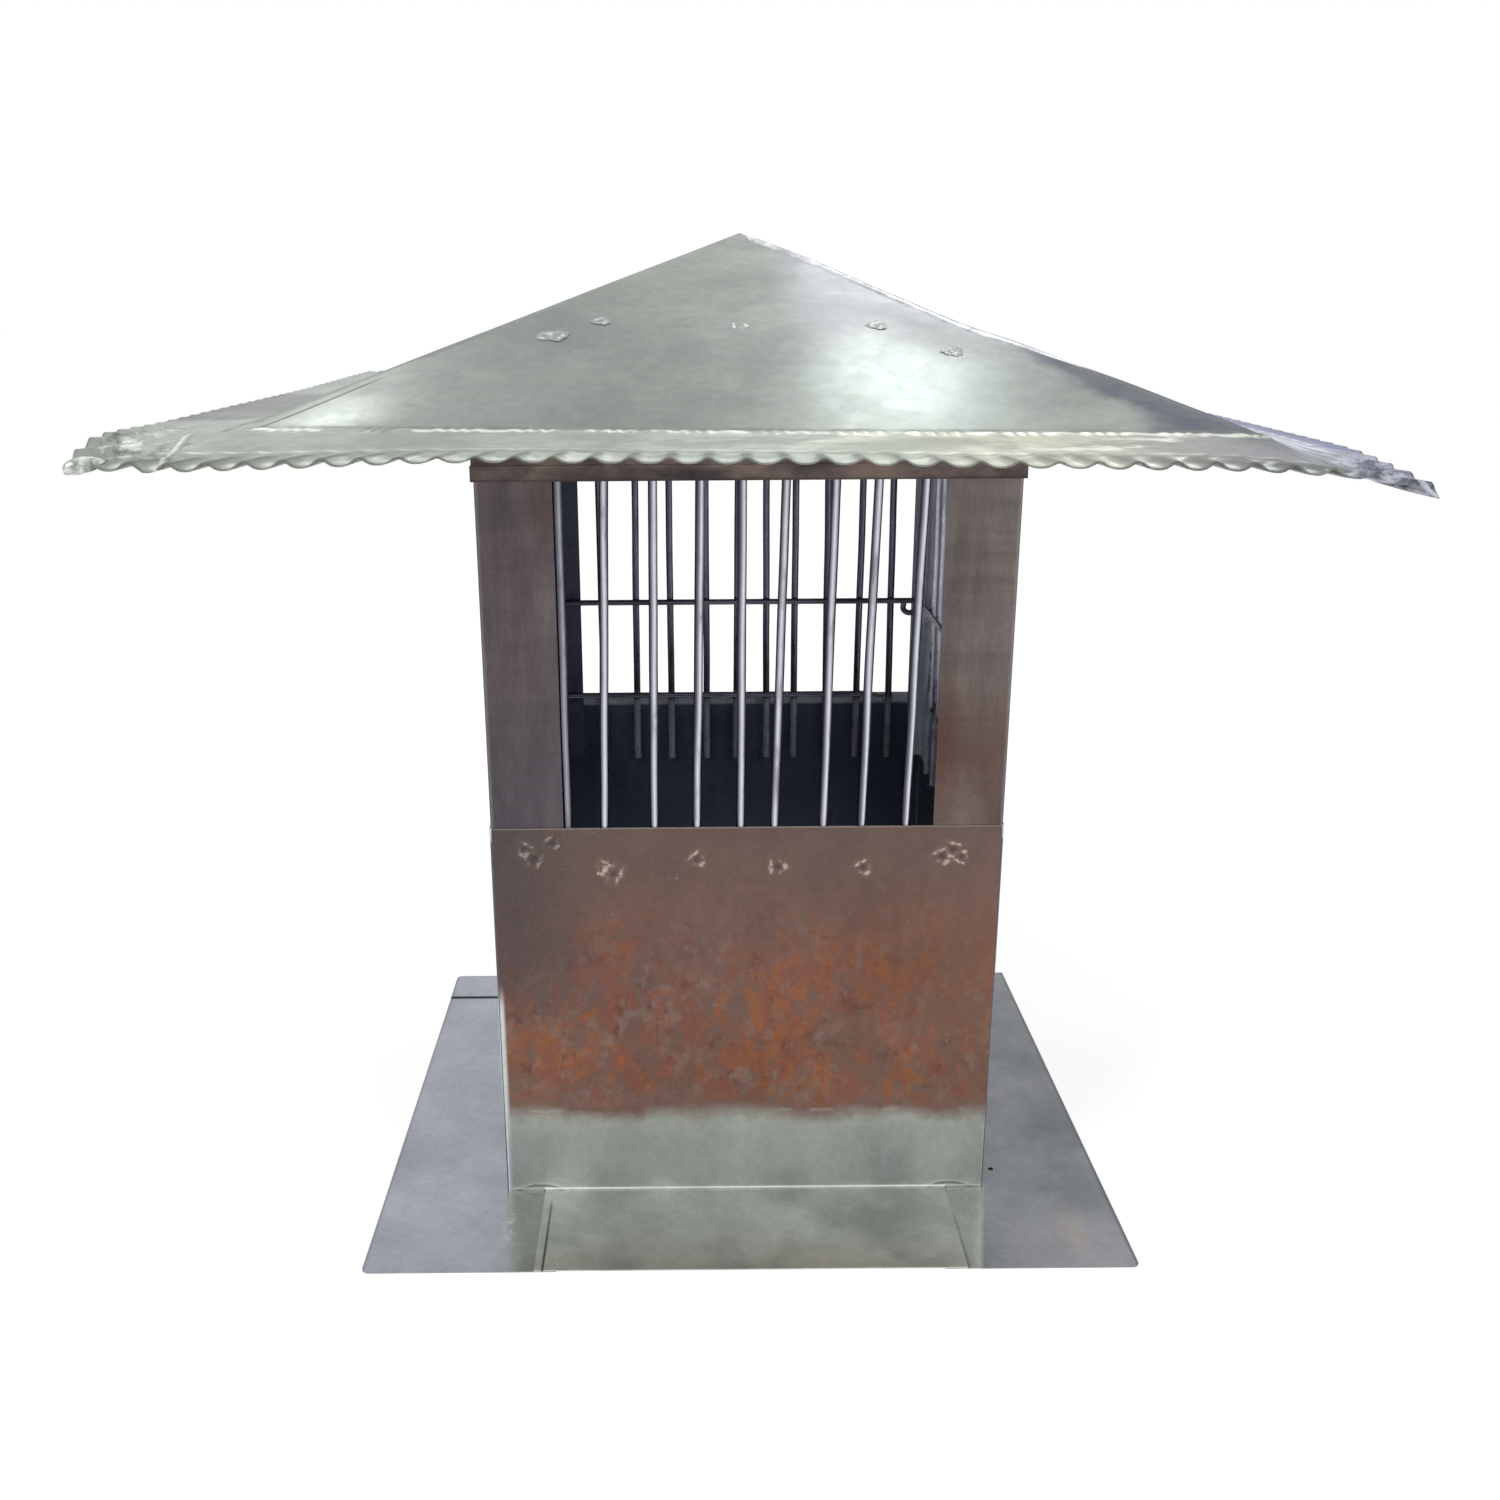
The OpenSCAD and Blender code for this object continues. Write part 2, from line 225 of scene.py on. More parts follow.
def roof_finish():
    """The roof's sheet reads two attributes: ring, the half width in metres, and crimp, the wave along the eave."""
    finish = Finish("roof_zinc", metallic=0.72)
    x, y, z = finish.xyz
    ring = finish.node("ShaderNodeAttribute", attribute_name="ring").outputs["Fac"]
    crimp = finish.node("ShaderNodeAttribute", attribute_name="crimp").outputs["Fac"]
    depth = finish.unsigned(y)
    main = finish.ramp(finish.cloud(5, 4, (1, 1.6, 1)), [
        (0.30, (130, 137, 132)), (0.50, (150, 156, 150)), (0.70, (168, 174, 168))])
    sheen = finish.times(finish.near(x, 0.094, 0.10), finish.near(depth, 0.235, 0.13))
    main = finish.lay(main, sheen, (196, 208, 202), 0.85)
    # Painted highlight: a small bright patch at the front left, where the left_gleam lamp is mirrored.
    pale = finish.times(finish.near(x, -0.243, 0.046), finish.near(depth, 0.262, 0.030))
    main = finish.lay(main, pale, (224, 234, 226), 0.95)
    # Painted reflection: a bluish sheen on the front face right of the apex.
    blue_sheen = finish.times(finish.span(x, 0.015, 0.05), finish.span(z, 0.575, 0.64))
    main = finish.lay(main, blue_sheen, (178, 181, 194), 0.65)
    # Painted shade: darker bluish grey on the front face beside the front right hip.
    edge = finish.less(x, finish.times(depth, 0.44))
    dark = finish.plus(edge, finish.span(finish.cloud(22, 4), 0.3, 0.7, -0.010, 0.010))
    main = finish.lay(main, finish.span(dark, 0.082, 0.104, 0, 0.95), (84, 88, 104))
    patches = finish.span(finish.cloud(26, 6, (1, 1.8, 1), 0.65), 0.35, 0.65, 0, 0.42)
    patches = finish.times(patches, finish.less(1.0, sheen))
    main = finish.lay(main, patches, (130, 136, 133))
    border = finish.ramp(finish.span(x, -0.35, 0.35), [
        (0.0, (164, 172, 164)), (0.30, (184, 192, 182)), (0.55, (206, 216, 204)), (0.80, (212, 212, 192)),
        (0.93, (164, 164, 164)), (1.0, (104, 110, 126))])
    grime = finish.span(finish.cloud(60, 5, (0.35, 1, 1)), 0.40, 0.62, 0, 0.45)
    border = finish.lay(border, grime, (132, 136, 128))
    glints = finish.span(finish.cloud(42, 5, (0.3, 1, 1), 0.65, (3, 9, 2)), 0.54, 0.64, 0, 0.8)
    border = finish.lay(border, finish.times(glints, finish.span(x, -0.2, 0.05)), (244, 246, 232))
    base = finish.mix(finish.span(ring, 0.2835, 0.2865), main, border)
    left_face = finish.span(finish.less(finish.times(x, -1.0), depth), 0.000, 0.004)
    right_face = finish.span(finish.less(x, depth), 0.002, 0.010)
    calm = finish.less(1.0, finish.times(left_face, 0.85))
    along_eave = finish.cloud(70, 3, (0.5, 1, 1))
    shade = finish.times(finish.near(ring, 0.2825, 0.0032), finish.span(along_eave, 0.4, 0.6, 0.2, 0.7))
    base = finish.lay(base, finish.times(shade, calm), (116, 122, 116))
    # Painted highlights in broken dashes along the crease.
    broken = finish.span(finish.cloud(55, 3, (1, 0.6, 1), shift=(4, 4, 4)), 0.40, 0.50)
    crease_highlights = finish.times(finish.near(ring, 0.2872, 0.0032), finish.times(broken, calm))
    base = finish.lay(base, crease_highlights, (240, 246, 234), 0.9)
    # Painted highlight: a broken bright stripe along the fold into the lip.
    broken = finish.span(finish.cloud(30, 4, shift=(1, 5, 2)), 0.38, 0.52, 0.25, 0.95)
    lip_highlight = finish.times(finish.near(ring, 0.3255, 0.0018), broken)
    base = finish.lay(base, finish.times(lip_highlight, calm), (232, 238, 222))
    # Painted shade just beyond that bright stripe, on the lip.
    under = finish.times(finish.near(ring, 0.3300, 0.0032), calm)
    base = finish.lay(base, under, (120, 124, 116), 0.5)
    # Painted shade on the lip at the raised crests between the crimps' lobes.
    lip = finish.times(finish.span(ring, 0.330, 0.338), calm)
    hollow_shade = finish.times(lip, finish.span(crimp, -0.15, 0.5, 0, 0.75))
    base = finish.lay(base, hollow_shade, (104, 108, 104))
    # Painted highlight near the eave's edge in each hanging lobe of the crimps.
    cup_highlight = finish.times(finish.near(ring, 0.3445, 0.0055), finish.span(crimp, -0.05, -0.42, 0, 0.75))
    base = finish.lay(base, finish.times(cup_highlight, calm), (232, 238, 228))
    rim = finish.times(finish.span(ring, 0.3490, 0.3508, 0, 0.7), calm)
    base = finish.lay(base, rim, (110, 112, 106))
    mottle = finish.cloud(30, 4, (1, 0.5, 1))
    base = finish.lay(base, finish.times(left_face, finish.span(mottle, 0.3, 0.6, 0.4, 0.8)), (158, 166, 158))
    # Painted shade: a darker patch on the middle of the left face.
    left_face_shade = finish.times(finish.span(y, -0.215, -0.180), finish.span(y, 0.075, 0.030))
    left_face_shade = finish.times(left_face_shade, finish.span(ring, 0.12, 0.21, 0.15, 1.0))
    left_face_shade = finish.times(left_face_shade, finish.times(left_face, finish.span(mottle, 0.3, 0.6, 0.7, 0.95)))
    base = finish.lay(base, left_face_shade, (104, 107, 103))
    # Painted shade: a dark stripe along the lower end of the front left hip.
    hip = finish.unsigned(finish.less(finish.times(x, -1.0), depth))
    fold = finish.times(finish.near(hip, 0.0, 0.0022), finish.span(ring, 0.292, 0.284))
    fold = finish.times(fold, finish.times(finish.span(ring, 0.215, 0.235), finish.span(y, -0.1, -0.15)))
    base = finish.lay(base, fold, (60, 62, 62), 0.85)
    # Painted highlight on the lapped sheet edge at the front left of the border, and painted shade beside it.
    lap_shading = finish.times(finish.span(ring, 0.286, 0.290), finish.span(y, -0.27, -0.29))
    lap_highlight = finish.times(finish.near(x, -0.3148, 0.0018), lap_shading)
    base = finish.lay(base, lap_highlight, (222, 228, 218), 0.8)
    lap_shade = finish.times(finish.near(x, -0.3118, 0.0016), lap_shading)
    base = finish.lay(base, lap_shade, (116, 122, 114), 0.6)
    # Painted glints: bright specks near the eave on the front left tip.
    tip = finish.times(left_face, finish.span(y, -0.225, -0.255))
    worked = finish.span(finish.cloud(75, 4, (1, 1, 1), 0.7, (2, 6, 1)), 0.48, 0.60)
    tip_glints = finish.times(finish.times(tip, finish.near(ring, 0.331, 0.020)), worked)
    base = finish.lay(base, tip_glints, (236, 240, 234), 0.7)
    # Painted shade: dark specks for the shading of dents on the front left tip.
    dents = finish.span(finish.cloud(60, 4, (1, 1, 1), 0.7, (8, 3, 4)), 0.50, 0.62)
    dents = finish.times(finish.times(tip, finish.span(ring, 0.290, 0.310)), dents)
    base = finish.lay(base, dents, (104, 108, 102), 0.7)
    # Painted reflection on the right face: bluish white, darker and lighter with the crimps.
    right_face_reflection = finish.lay(paint(232, 234, 246), finish.span(crimp, -0.3, 0.3), (156, 160, 188))
    right_face_reflection = finish.mix(finish.span(ring, 0.290, 0.300), paint(196, 200, 222), right_face_reflection)
    base = finish.mix(finish.times(right_face, finish.span(y, 0.20, -0.05, 0.4, 0.9)), base, right_face_reflection)
    # Painted shade on the bent down front right tip, with painted glints in bright specks.
    ear = finish.times(finish.span(x, 0.292, 0.322), finish.span(y, -0.262, -0.292))
    glint_specks = finish.span(finish.cloud(70, 5, (1, 1, 1), 0.7, (5, 1, 7)), 0.42, 0.60)
    tip_shade_and_glints = finish.lay(paint(84, 88, 104), glint_specks, (196, 200, 212))
    base = finish.mix(finish.times(ear, 0.85), base, tip_shade_and_glints)
    zinc_skin(finish, base, 0.03, rough=(0.32, 0.38), wave=0.0003, grain=0.0001, flake=0.5)
    return finish.material


def post_finish():
    finish = Finish("post_zinc", metallic=0.65)
    x, y, z = finish.xyz
    streaks = finish.cloud(14, 6, (5, 5, 0.9), 0.65)
    left = finish.ramp(streaks, [(0.3, (78, 69, 72)), (0.55, (99, 88, 91)), (0.75, (116, 105, 107))])
    right = finish.ramp(streaks, [(0.3, (102, 92, 89)), (0.55, (121, 111, 107)), (0.75, (136, 126, 122))])
    base = finish.mix(finish.span(x, -0.05, 0.05), left, right)
    rust = finish.times(finish.span(z, 0.42, 0.30), finish.span(x, -0.1, 0.12, 0.05, 0.9))
    rust = finish.times(rust, finish.span(finish.cloud(12, 4), 0.38, 0.60, 0.4, 1.0))
    base = finish.lay(base, rust, (88, 58, 52))
    cold = finish.times(finish.span(z, 0.44, 0.32), finish.span(x, 0.0, -0.1, 0, 0.5))
    base = finish.lay(base, cold, (72, 70, 80))
    ember = finish.times(finish.near(x, 0.128, 0.030), finish.near(z, 0.345, 0.075))
    base = finish.lay(base, ember, (92, 58, 50), 0.7)
    blush = finish.times(finish.near(x, -0.125, 0.035), finish.near(z, 0.505, 0.040))
    base = finish.lay(base, blush, (118, 82, 74), 0.35)
    brushed = finish.span(finish.cloud(150, 3, (0.06, 0.06, 1)), 0.40, 0.62, 0, 0.16)
    base = finish.lay(base, brushed, (76, 68, 70))
    bands = finish.span(finish.cloud(60, 4, (0.15, 0.15, 1)), 0.52, 0.66, 0, 0.22)
    base = finish.lay(base, bands, (66, 60, 62))
    # Painted highlight along the posts' outer corners.
    edge = finish.times(finish.near(finish.unsigned(x), 0.1738, 0.0022), 0.35)
    base = finish.lay(base, edge, (150, 144, 140))
    inner = finish.larger(finish.unsigned(x), finish.unsigned(y))
    inside = finish.span(inner, 0.1744, 0.1746, 1, 0)
    base = finish.lay(base, inside, (84, 88, 112))
    finish.metal(finish.span(inside, 0, 1, 0.65, 0.2))
    lit = finish.times(finish.span(x, 0.1, 0.12), finish.span(y, 0.12, 0.14))
    base = finish.lay(base, finish.times(lit, inside), (196, 200, 212))
    zinc_skin(finish, base, 0.04, (3, 3, 0.8))
    return finish.material


def collar_finish():
    finish = Finish("collar_zinc", metallic=0.65)
    _, _, z = finish.xyz
    base = finish.ramp(finish.cloud(30, 6, (0.6, 0.6, 1.5), 0.65), [
        (0.36, (54, 46, 48)), (0.50, (91, 79, 77)), (0.64, (124, 107, 99))])
    hem = finish.near(z, WINDOW_TOP + 0.0006, 0.0016)
    base = finish.lay(base, hem, (56, 48, 50), 0.6)
    zinc_skin(finish, base, 0.04)
    return finish.material


def wall_finish():
    finish = Finish("wall_zinc", metallic=0.6)
    x, y, z = finish.xyz
    low = finish.plus(z, finish.span(finish.cloud(30, 5), 0.3, 0.7, -0.004, 0.004))
    # Pale greenish grey up to about 56 mm: the zinc, with a painted reflection of the flange and a painted highlight at
    # the very foot; rusty brown above.
    base = finish.ramp(finish.span(low, 0.0, 0.285, smooth=False), [
        (0.0, (204, 210, 203)), (0.03, (186, 192, 185)), (0.10, (188, 194, 187)), (0.195, (178, 182, 174)),
        (0.220, (150, 142, 134)), (0.245, (120, 96, 86)), (0.32, (112, 86, 75)),
        (0.55, (112, 85, 76)), (0.78, (114, 88, 79)), (1.0, (107, 88, 81))])
    zone = finish.times(finish.span(low, 0.062, 0.082), finish.span(low, 0.250, 0.165))
    smear = (1, 1, 0.75)
    spread = finish.cloud(13, 3, (1, 1, 0.8))
    fine = finish.plus(finish.cloud(58, 7, smear, 0.68), finish.times(spread, 0.55))
    rusted = finish.times(finish.span(fine, 0.72, 0.84), zone)
    base = finish.lay(base, rusted, (138, 74, 50), 0.52)
    core = finish.plus(finish.cloud(80, 6, smear, 0.7, (9, 3, 1)), finish.times(spread, 0.6))
    orange = finish.times(finish.span(core, 0.83, 0.93), zone)
    base = finish.lay(base, orange, (146, 88, 46), 0.65)
    dark = finish.times(finish.span(finish.cloud(64, 6, (1, 1, 0.8), 0.7, (3, 1, 2)), 0.54, 0.68), zone)
    base = finish.lay(base, dark, (88, 52, 44), 0.65)
    pink = finish.times(finish.span(finish.cloud(48, 6, smear, 0.7, (6, 6, 2)), 0.52, 0.66), zone)
    base = finish.lay(base, pink, (142, 104, 92), 0.5)
    pale = finish.times(finish.span(finish.cloud(66, 6, smear, 0.7, (7, 2, 5)), 0.54, 0.66), zone)
    base = finish.lay(base, pale, (130, 110, 100), 0.65)
    lines = finish.times(finish.span(finish.cloud(110, 4, shift=(2, 8, 5), rough=0.8), 0.69, 0.74), zone)
    base = finish.lay(base, lines, (178, 150, 134), 0.4)
    faint = finish.span(finish.cloud(50, 6, (1, 1, 0.5), 0.7, (1, 1, 8)), 0.40, 0.62)
    faint = finish.times(faint, finish.span(z, 0.12, 0.20))
    base = finish.lay(base, faint, (100, 78, 74), 0.4)
    warm = finish.times(finish.span(x, 0.03, 0.15), finish.near(z, 0.170, 0.090))
    base = finish.lay(base, warm, (136, 90, 66), 0.35)
    specks = finish.times(finish.near(z, 0.0665, 0.0022), finish.span(finish.cloud(34, 3, shift=(5, 5, 5)), 0.52, 0.60))
    base = finish.lay(base, specks, (196, 190, 180), 0.3)
    band = finish.span(finish.cloud(12, 5, (1, 1, 0.5)), 0.45, 0.62, 0, 0.5)
    band = finish.times(finish.span(low, 0.062, 0.052), band)
    base = finish.lay(base, band, (150, 156, 156))
    gloom = finish.times(finish.span(x, -0.085, -0.165), finish.span(z, 0.10, 0.20, 0, 0.7))
    base = finish.lay(base, gloom, (70, 64, 66))
    front = finish.times(finish.span(y, -0.1700, -0.1720), finish.span(y, -0.1796, -0.1780))
    pinch = finish.near(finish.unsigned(x), 0.150, 0.024)
    over_fold = finish.less(z, finish.span(pinch, 0, 1, 0.0024, 0.0066))
    pinched = finish.times(finish.span(pinch, 0.02, 0.2), front)
    # Painted highlight on the crest of the fold at the wall's foot, raised where it is pinched near the corners.
    crest = finish.times(finish.near(over_fold, 0.0, 0.0014), pinched)
    base = finish.lay(base, crest, (216, 222, 214), 0.8)
    # Painted shade just under that crest.
    hollow_shade = finish.times(finish.near(over_fold, -0.0020, 0.0014), pinched)
    base = finish.lay(base, hollow_shade, (84, 88, 86), 0.7)
    # Painted highlight along the bend at the wall's foot.
    fold = finish.times(finish.near(z, 0.0024, 0.0013), front)
    base = finish.lay(base, fold, (236, 242, 234), 0.85)
    # Painted highlight down the lower part of the rounded front left corner.
    left_corner_highlight = finish.times(finish.span(x, -0.1700, -0.1728), finish.span(z, 0.170, 0.145))
    left_corner_highlight = finish.times(left_corner_highlight, front)
    base = finish.lay(base, left_corner_highlight, (218, 226, 226), 0.8)
    # Painted shade: a dark stripe down the front right corner, above about 7 cm.
    right_corner_shade = finish.times(finish.near(x, 0.1756, 0.0024), front)
    right_corner_shade = finish.times(right_corner_shade, finish.span(z, 0.062, 0.075))
    base = finish.lay(base, right_corner_shade, (58, 50, 50), 0.8)
    # Painted highlight along the wall's top edge.
    top_edge_highlight = finish.times(finish.near(z, 0.2846, 0.0007), 0.6)
    base = finish.lay(base, top_edge_highlight, (158, 146, 140))
    # Painted shadow in the narrow gap of the front tab at the left.
    slit_shadow = finish.times(finish.near(x, -0.1412, 0.0015), finish.span(y, -0.188, -0.196))
    base = finish.lay(base, finish.times(slit_shadow, finish.span(y, -0.19, -0.25, 0.6, 0.95)), (46, 48, 48))
    out = finish.larger(finish.unsigned(x), finish.unsigned(y))
    # Soot inside, with a painted band of light along the top centimetre of the inner faces and faint painted highlight
    # streaks.
    soot_and_lit_band = finish.ramp(finish.span(z, 0.265, 0.285, smooth=False), [
        (0.0, (70, 76, 98)), (0.45, (80, 86, 108)), (0.58, (214, 220, 232)), (0.9, (240, 243, 250))])
    streak = finish.span(finish.cloud(60, 3, (1, 1, 0.06)), 0.55, 0.7, 0, 0.35)
    soot_and_lit_band = finish.lay(soot_and_lit_band, streak, (96, 100, 116))
    inside = finish.span(out, 0.1751, 0.1753, 1, 0)
    base = finish.mix(inside, base, soot_and_lit_band)
    matt = finish.times(inside, finish.span(z, 0.2740, 0.2765, 1, 0.35))
    finish.metal(finish.span(matt, 0, 1, 0.6, 0.1))
    zinc_skin(finish, base, 0.015, rough=(0.24, 0.40), flake=0.1)
    return finish.material


def flange_finish():
    finish = Finish("flange_zinc", metallic=0.6)
    x, y, _ = finish.xyz
    clouds = finish.cloud(13, 6, rough=0.6)
    left = finish.ramp(clouds, [(0.3, (154, 159, 170)), (0.5, (167, 171, 181)), (0.7, (178, 182, 192))])
    right = finish.ramp(clouds, [(0.3, (106, 110, 115)), (0.5, (124, 128, 133)), (0.7, (142, 145, 150))])
    base = finish.mix(finish.span(x, -0.1, 0.1), left, right)
    front = finish.times(finish.span(y, -0.18, -0.24), finish.span(x, 0.14, 0.2))
    base = finish.lay(base, front, (160, 162, 168), 0.6)
    warm = finish.times(finish.near(x, 0.228, 0.016), finish.near(y, -0.232, 0.04))
    base = finish.lay(base, warm, (190, 172, 150), 0.35)
    ahead = finish.plus(y, 0.176)
    beside = finish.less(x, finish.times(ahead, 0.2))
    beside = finish.times(finish.span(beside, 0.178, 0.173), finish.span(x, 0.10, 0.14))
    beside = finish.times(beside, finish.span(ahead, 0.002, -0.002))
    base = finish.lay(base, beside, (186, 194, 188), 0.9)
    green = finish.plus(x, finish.times(ahead, 0.14))
    green = finish.times(finish.span(green, -0.178, -0.173), finish.span(x, -0.10, -0.14))
    green = finish.times(green, finish.span(ahead, 0.002, -0.002))
    base = finish.lay(base, green, (164, 172, 164), 0.9)
    # Painted shadow along the edge of the front tab at the right.
    cut_shadow = finish.times(finish.near(x, 0.1485, 0.0012), finish.span(y, -0.205, -0.212))
    base = finish.lay(base, cut_shadow, (90, 94, 92), 0.5)
    rim = finish.near(finish.unsigned(x), 0.2632, 0.0024)
    base = finish.lay(base, finish.times(rim, finish.span(x, -0.1, 0.1, 0.3, 0.75)), (84, 88, 98))
    # Painted shadow under the raised front edge of the back strip, where it lies over the left plate.
    lap_shading = finish.times(finish.near(y, 0.1350, 0.0034), finish.span(x, -0.174, -0.176))
    base = finish.lay(base, lap_shading, (40, 44, 56), 0.95)
    smudge = finish.times(finish.near(x, -0.169, 0.006), finish.near(y, -0.222, 0.02))
    smudge = finish.times(smudge, finish.span(finish.cloud(140, 3), 0.50, 0.60, 0, 0.8))
    base = finish.lay(base, smudge, (216, 220, 224))
    zinc_skin(finish, base, 0.03, rough=(0.18, 0.30), flake=0.5)
    return finish.material


def bar_finish():
    """Round bars and rods, with painted shade on both sides and a painted highlight down the middle; their attribute
    across is the way they face, from left to right.
    """
    finish = Finish("bar_steel", metallic=0.9)
    x, y, z = finish.xyz
    finish.shader.inputs["Specular Tint"].default_value = (0.22, 0.22, 0.26, 1)
    # Painted shading by the way each point faces: a painted highlight down the middle and painted shade on both sides,
    # the back bars painted darker as shade and the right side's bars further along the ramp.
    across = finish.node("ShaderNodeAttribute", attribute_name="across").outputs["Fac"]
    across = finish.plus(across, finish.span(finish.cloud(14, 2, (1, 1, 0.3)), 0.3, 0.7, -0.25, 0.25))
    across = finish.plus(across, finish.span(x, 0.160, 0.166, 0, 0.75))
    bright = finish.ramp(finish.span(across, -1.2, 1.2, smooth=False), [
        (0.06, (52, 52, 66)), (0.28, (88, 88, 102)), (0.44, (164, 164, 174)), (0.58, (218, 219, 226)),
        (0.70, (180, 180, 190)), (0.84, (112, 110, 122)), (0.96, (66, 64, 78))])
    dull = finish.ramp(finish.span(across, -1.2, 1.2, smooth=False), [
        (0.08, (46, 46, 58)), (0.40, (84, 86, 98)), (0.62, (122, 124, 138)), (0.92, (50, 50, 62))])
    base = finish.mix(finish.span(y, 0.13, 0.16), bright, dull)
    # Painted light on the feet of the back and right bars below the wall's top, with less metal so it shows.
    far = finish.larger(finish.span(y, 0.13, 0.16, 0, 0.42), finish.span(x, 0.160, 0.166, 0, 0.9))
    foot = finish.times(far, finish.span(z, 0.284, 0.279))
    base = finish.lay(base, foot, (214, 218, 232))
    finish.metal(finish.span(foot, 0, 0.6, 0.9, 0.15))
    # Painted shade on the first bar at the front left, beside the post.
    first = finish.times(finish.span(x, -0.110, -0.118, 0, 0.6), finish.span(y, 0.0, -0.1))
    base = finish.lay(base, first, (92, 88, 102))
    dirt = finish.span(finish.cloud(90, 4, (1, 1, 0.3)), 0.55, 0.70, 0, 0.5)
    finish.colour(finish.mix(dirt, base, paint(84, 82, 90)))
    finish.rough(finish.span(finish.cloud(60, 4), 0.3, 0.7, 0.22, 0.40))
    finish.bump((finish.cloud(240, 3, (1, 1, 0.2)), 0.0002))
    return finish.material


def highlight_finish(name, scale, dull, middle, bright):
    """Zinc painted bright, as a painted highlight on the rolled bead and the folded seam."""
    finish = Finish(name, metallic=0.7)
    finish.colour(finish.ramp(finish.cloud(scale, 4, rough=0.7), [(0.36, dull), (0.48, middle), (0.60, bright)]))
    finish.rough(finish.span(finish.cloud(90, 3), 0.3, 0.7, 0.2, 0.4))
    return finish.material


def bead_finish():
    finish = Finish("weld_bead", metallic=0.6)
    finish.colour(finish.ramp(finish.cloud(300, 4), [
        (0.35, (52, 52, 60)), (0.55, (92, 92, 100)), (0.7, (160, 160, 168))]))
    finish.rough(finish.span(finish.cloud(300, 3), 0.3, 0.7, 0.35, 0.6))
    return finish.material


def scar_finish(name, sheet, soft, rim, burn):
    """A spot weld's scar: its attribute is 1 on the raised rim, 0 on the sheet round it and less in the dent."""
    finish = Finish(name, metallic=0.6, roughness=0.3)
    height = finish.node("ShaderNodeAttribute", attribute_name="rim").outputs["Fac"]
    ragged = finish.times(height, finish.span(finish.cloud(380, 4, rough=0.7), 0.32, 0.66, 0.35, 1.5))
    # Brighter towards the raised rim: partly the scar's bare metal, partly a painted highlight on the rim.
    finish.colour(finish.ramp(finish.span(ragged, -0.5, 1.0, smooth=False), [
        (0.08, burn), (0.30, sheet), (0.38, sheet), (0.58, soft), (0.92, rim), (1.0, rim)]))
    finish.rough(finish.span(finish.cloud(300, 3), 0.3, 0.7, 0.2, 0.5))
    finish.bump((finish.cloud(500, 3), 0.0003))
    return finish.material


roof_zinc, post_zinc, collar_zinc = roof_finish(), post_finish(), collar_finish()
wall_zinc, flange_zinc, bar_steel, weld_bead = wall_finish(), flange_finish(), bar_finish(), bead_finish()
tip_zinc = highlight_finish("tip_zinc", 120, (122, 128, 122), (186, 192, 186), (242, 245, 242))
seam_zinc = highlight_finish("seam_zinc", 40, (178, 181, 186), (214, 217, 222), (244, 246, 248))
faint_scar = scar_finish("faint_scar", (93, 79, 76), (104, 90, 86), (152, 138, 130), (68, 60, 60))
wall_scar = scar_finish("wall_scar", (112, 89, 82), (128, 108, 101), (186, 170, 160), (84, 68, 66))
roof_scar = scar_finish("roof_scar", (160, 166, 161), (176, 182, 177), (228, 234, 230), (146, 152, 148))


def new_object(name, data):
    made = bpy.data.objects.new(name, data)
    bpy.context.scene.collection.objects.link(made)
    return made


def dress(node, material):
    """Gives a node of the frame its material."""
    mesh = frame["nodes"][node].data
    mesh.materials.clear()
    mesh.materials.append(material)


for post in ("front_left_post", "front_right_post", "back_right_post", "back_left_post"):
    dress(post, post_zinc)
for sheet in ("left_flange", "right_flange", "back_flange"):
    dress(sheet, flange_zinc)
for ring_rod in ("back_upper_rod", "back_lower_rod", "right_rod", "left_rod"):
    dress(ring_rod, bar_steel)
dress("top_collar", collar_zinc)
dress("lower_box", wall_zinc)


def mesh_piece(name, points, faces, material=None, smooth=True):
    mesh = bpy.data.meshes.new(name)
    mesh.from_pydata([tuple(p) for p in points], [], [tuple(f) for f in faces])
    mesh.validate()
    if material:
        mesh.materials.append(material)
    mesh.shade_smooth() if smooth else mesh.shade_flat()
    return new_object(name, mesh)


def loop_faces(a, b, count):
    """Faces between two closed loops of points that start at a and at b."""
    return [(a + i, b + i, b + (i + 1) % count, a + (i + 1) % count) for i in range(count)]


def fan_faces(first, count):
    """Triangles from point 0 to the closed loop that starts at first."""
    return [(0, first + i, first + (i + 1) % count) for i in range(count)]


def give_number(piece, name, values):
    """A number at each point of the mesh, for its material to read."""
    piece.data.attributes.new(name, "FLOAT", "POINT").data.foreach_set("value", values)


def applied(piece):
    """The piece as a plain mesh, with its modifiers worked in and then removed."""
    bpy.context.view_layer.update()
    graph = bpy.context.evaluated_depsgraph_get()
    mesh = bpy.data.meshes.new_from_object(piece.evaluated_get(graph), preserve_all_data_layers=True, depsgraph=graph)
    piece.modifiers.clear()
    piece.data = mesh
    return piece


def ripple(x, y, z):
    """Slow even waves from -1 to 1, which stand for the dents of hand work."""
    broad = math.sin(37 * x + 11 * y + 3 * z + 1.3) * math.sin(23 * y - 19 * x + 0.4)
    return broad * 0.6 + math.sin(61 * x - 47 * y + 2.1) * 0.4


# Roof

LIP_START = ROOF_HALF - LIP_W
ROOF_TOP = APEX_Z - 0.0002
LAP_AT = -0.314


def smooth_step(low, high, value):
    """0 at low and 1 at high, eased between them and level beyond. Low may be the larger one."""
    t = min(1.0, max(0.0, (value - low) / (high - low)))
    return t * t * (3 - 2 * t)


def soft_fold(r, at, slope_in, slope_out, width):
    """How much higher a sheet is at r because of its fold at r = at, rounded over width."""
    s = (r - at) / width
    return (slope_in - slope_out) * width * (math.log1p(math.exp(s)) if s < 30 else s)


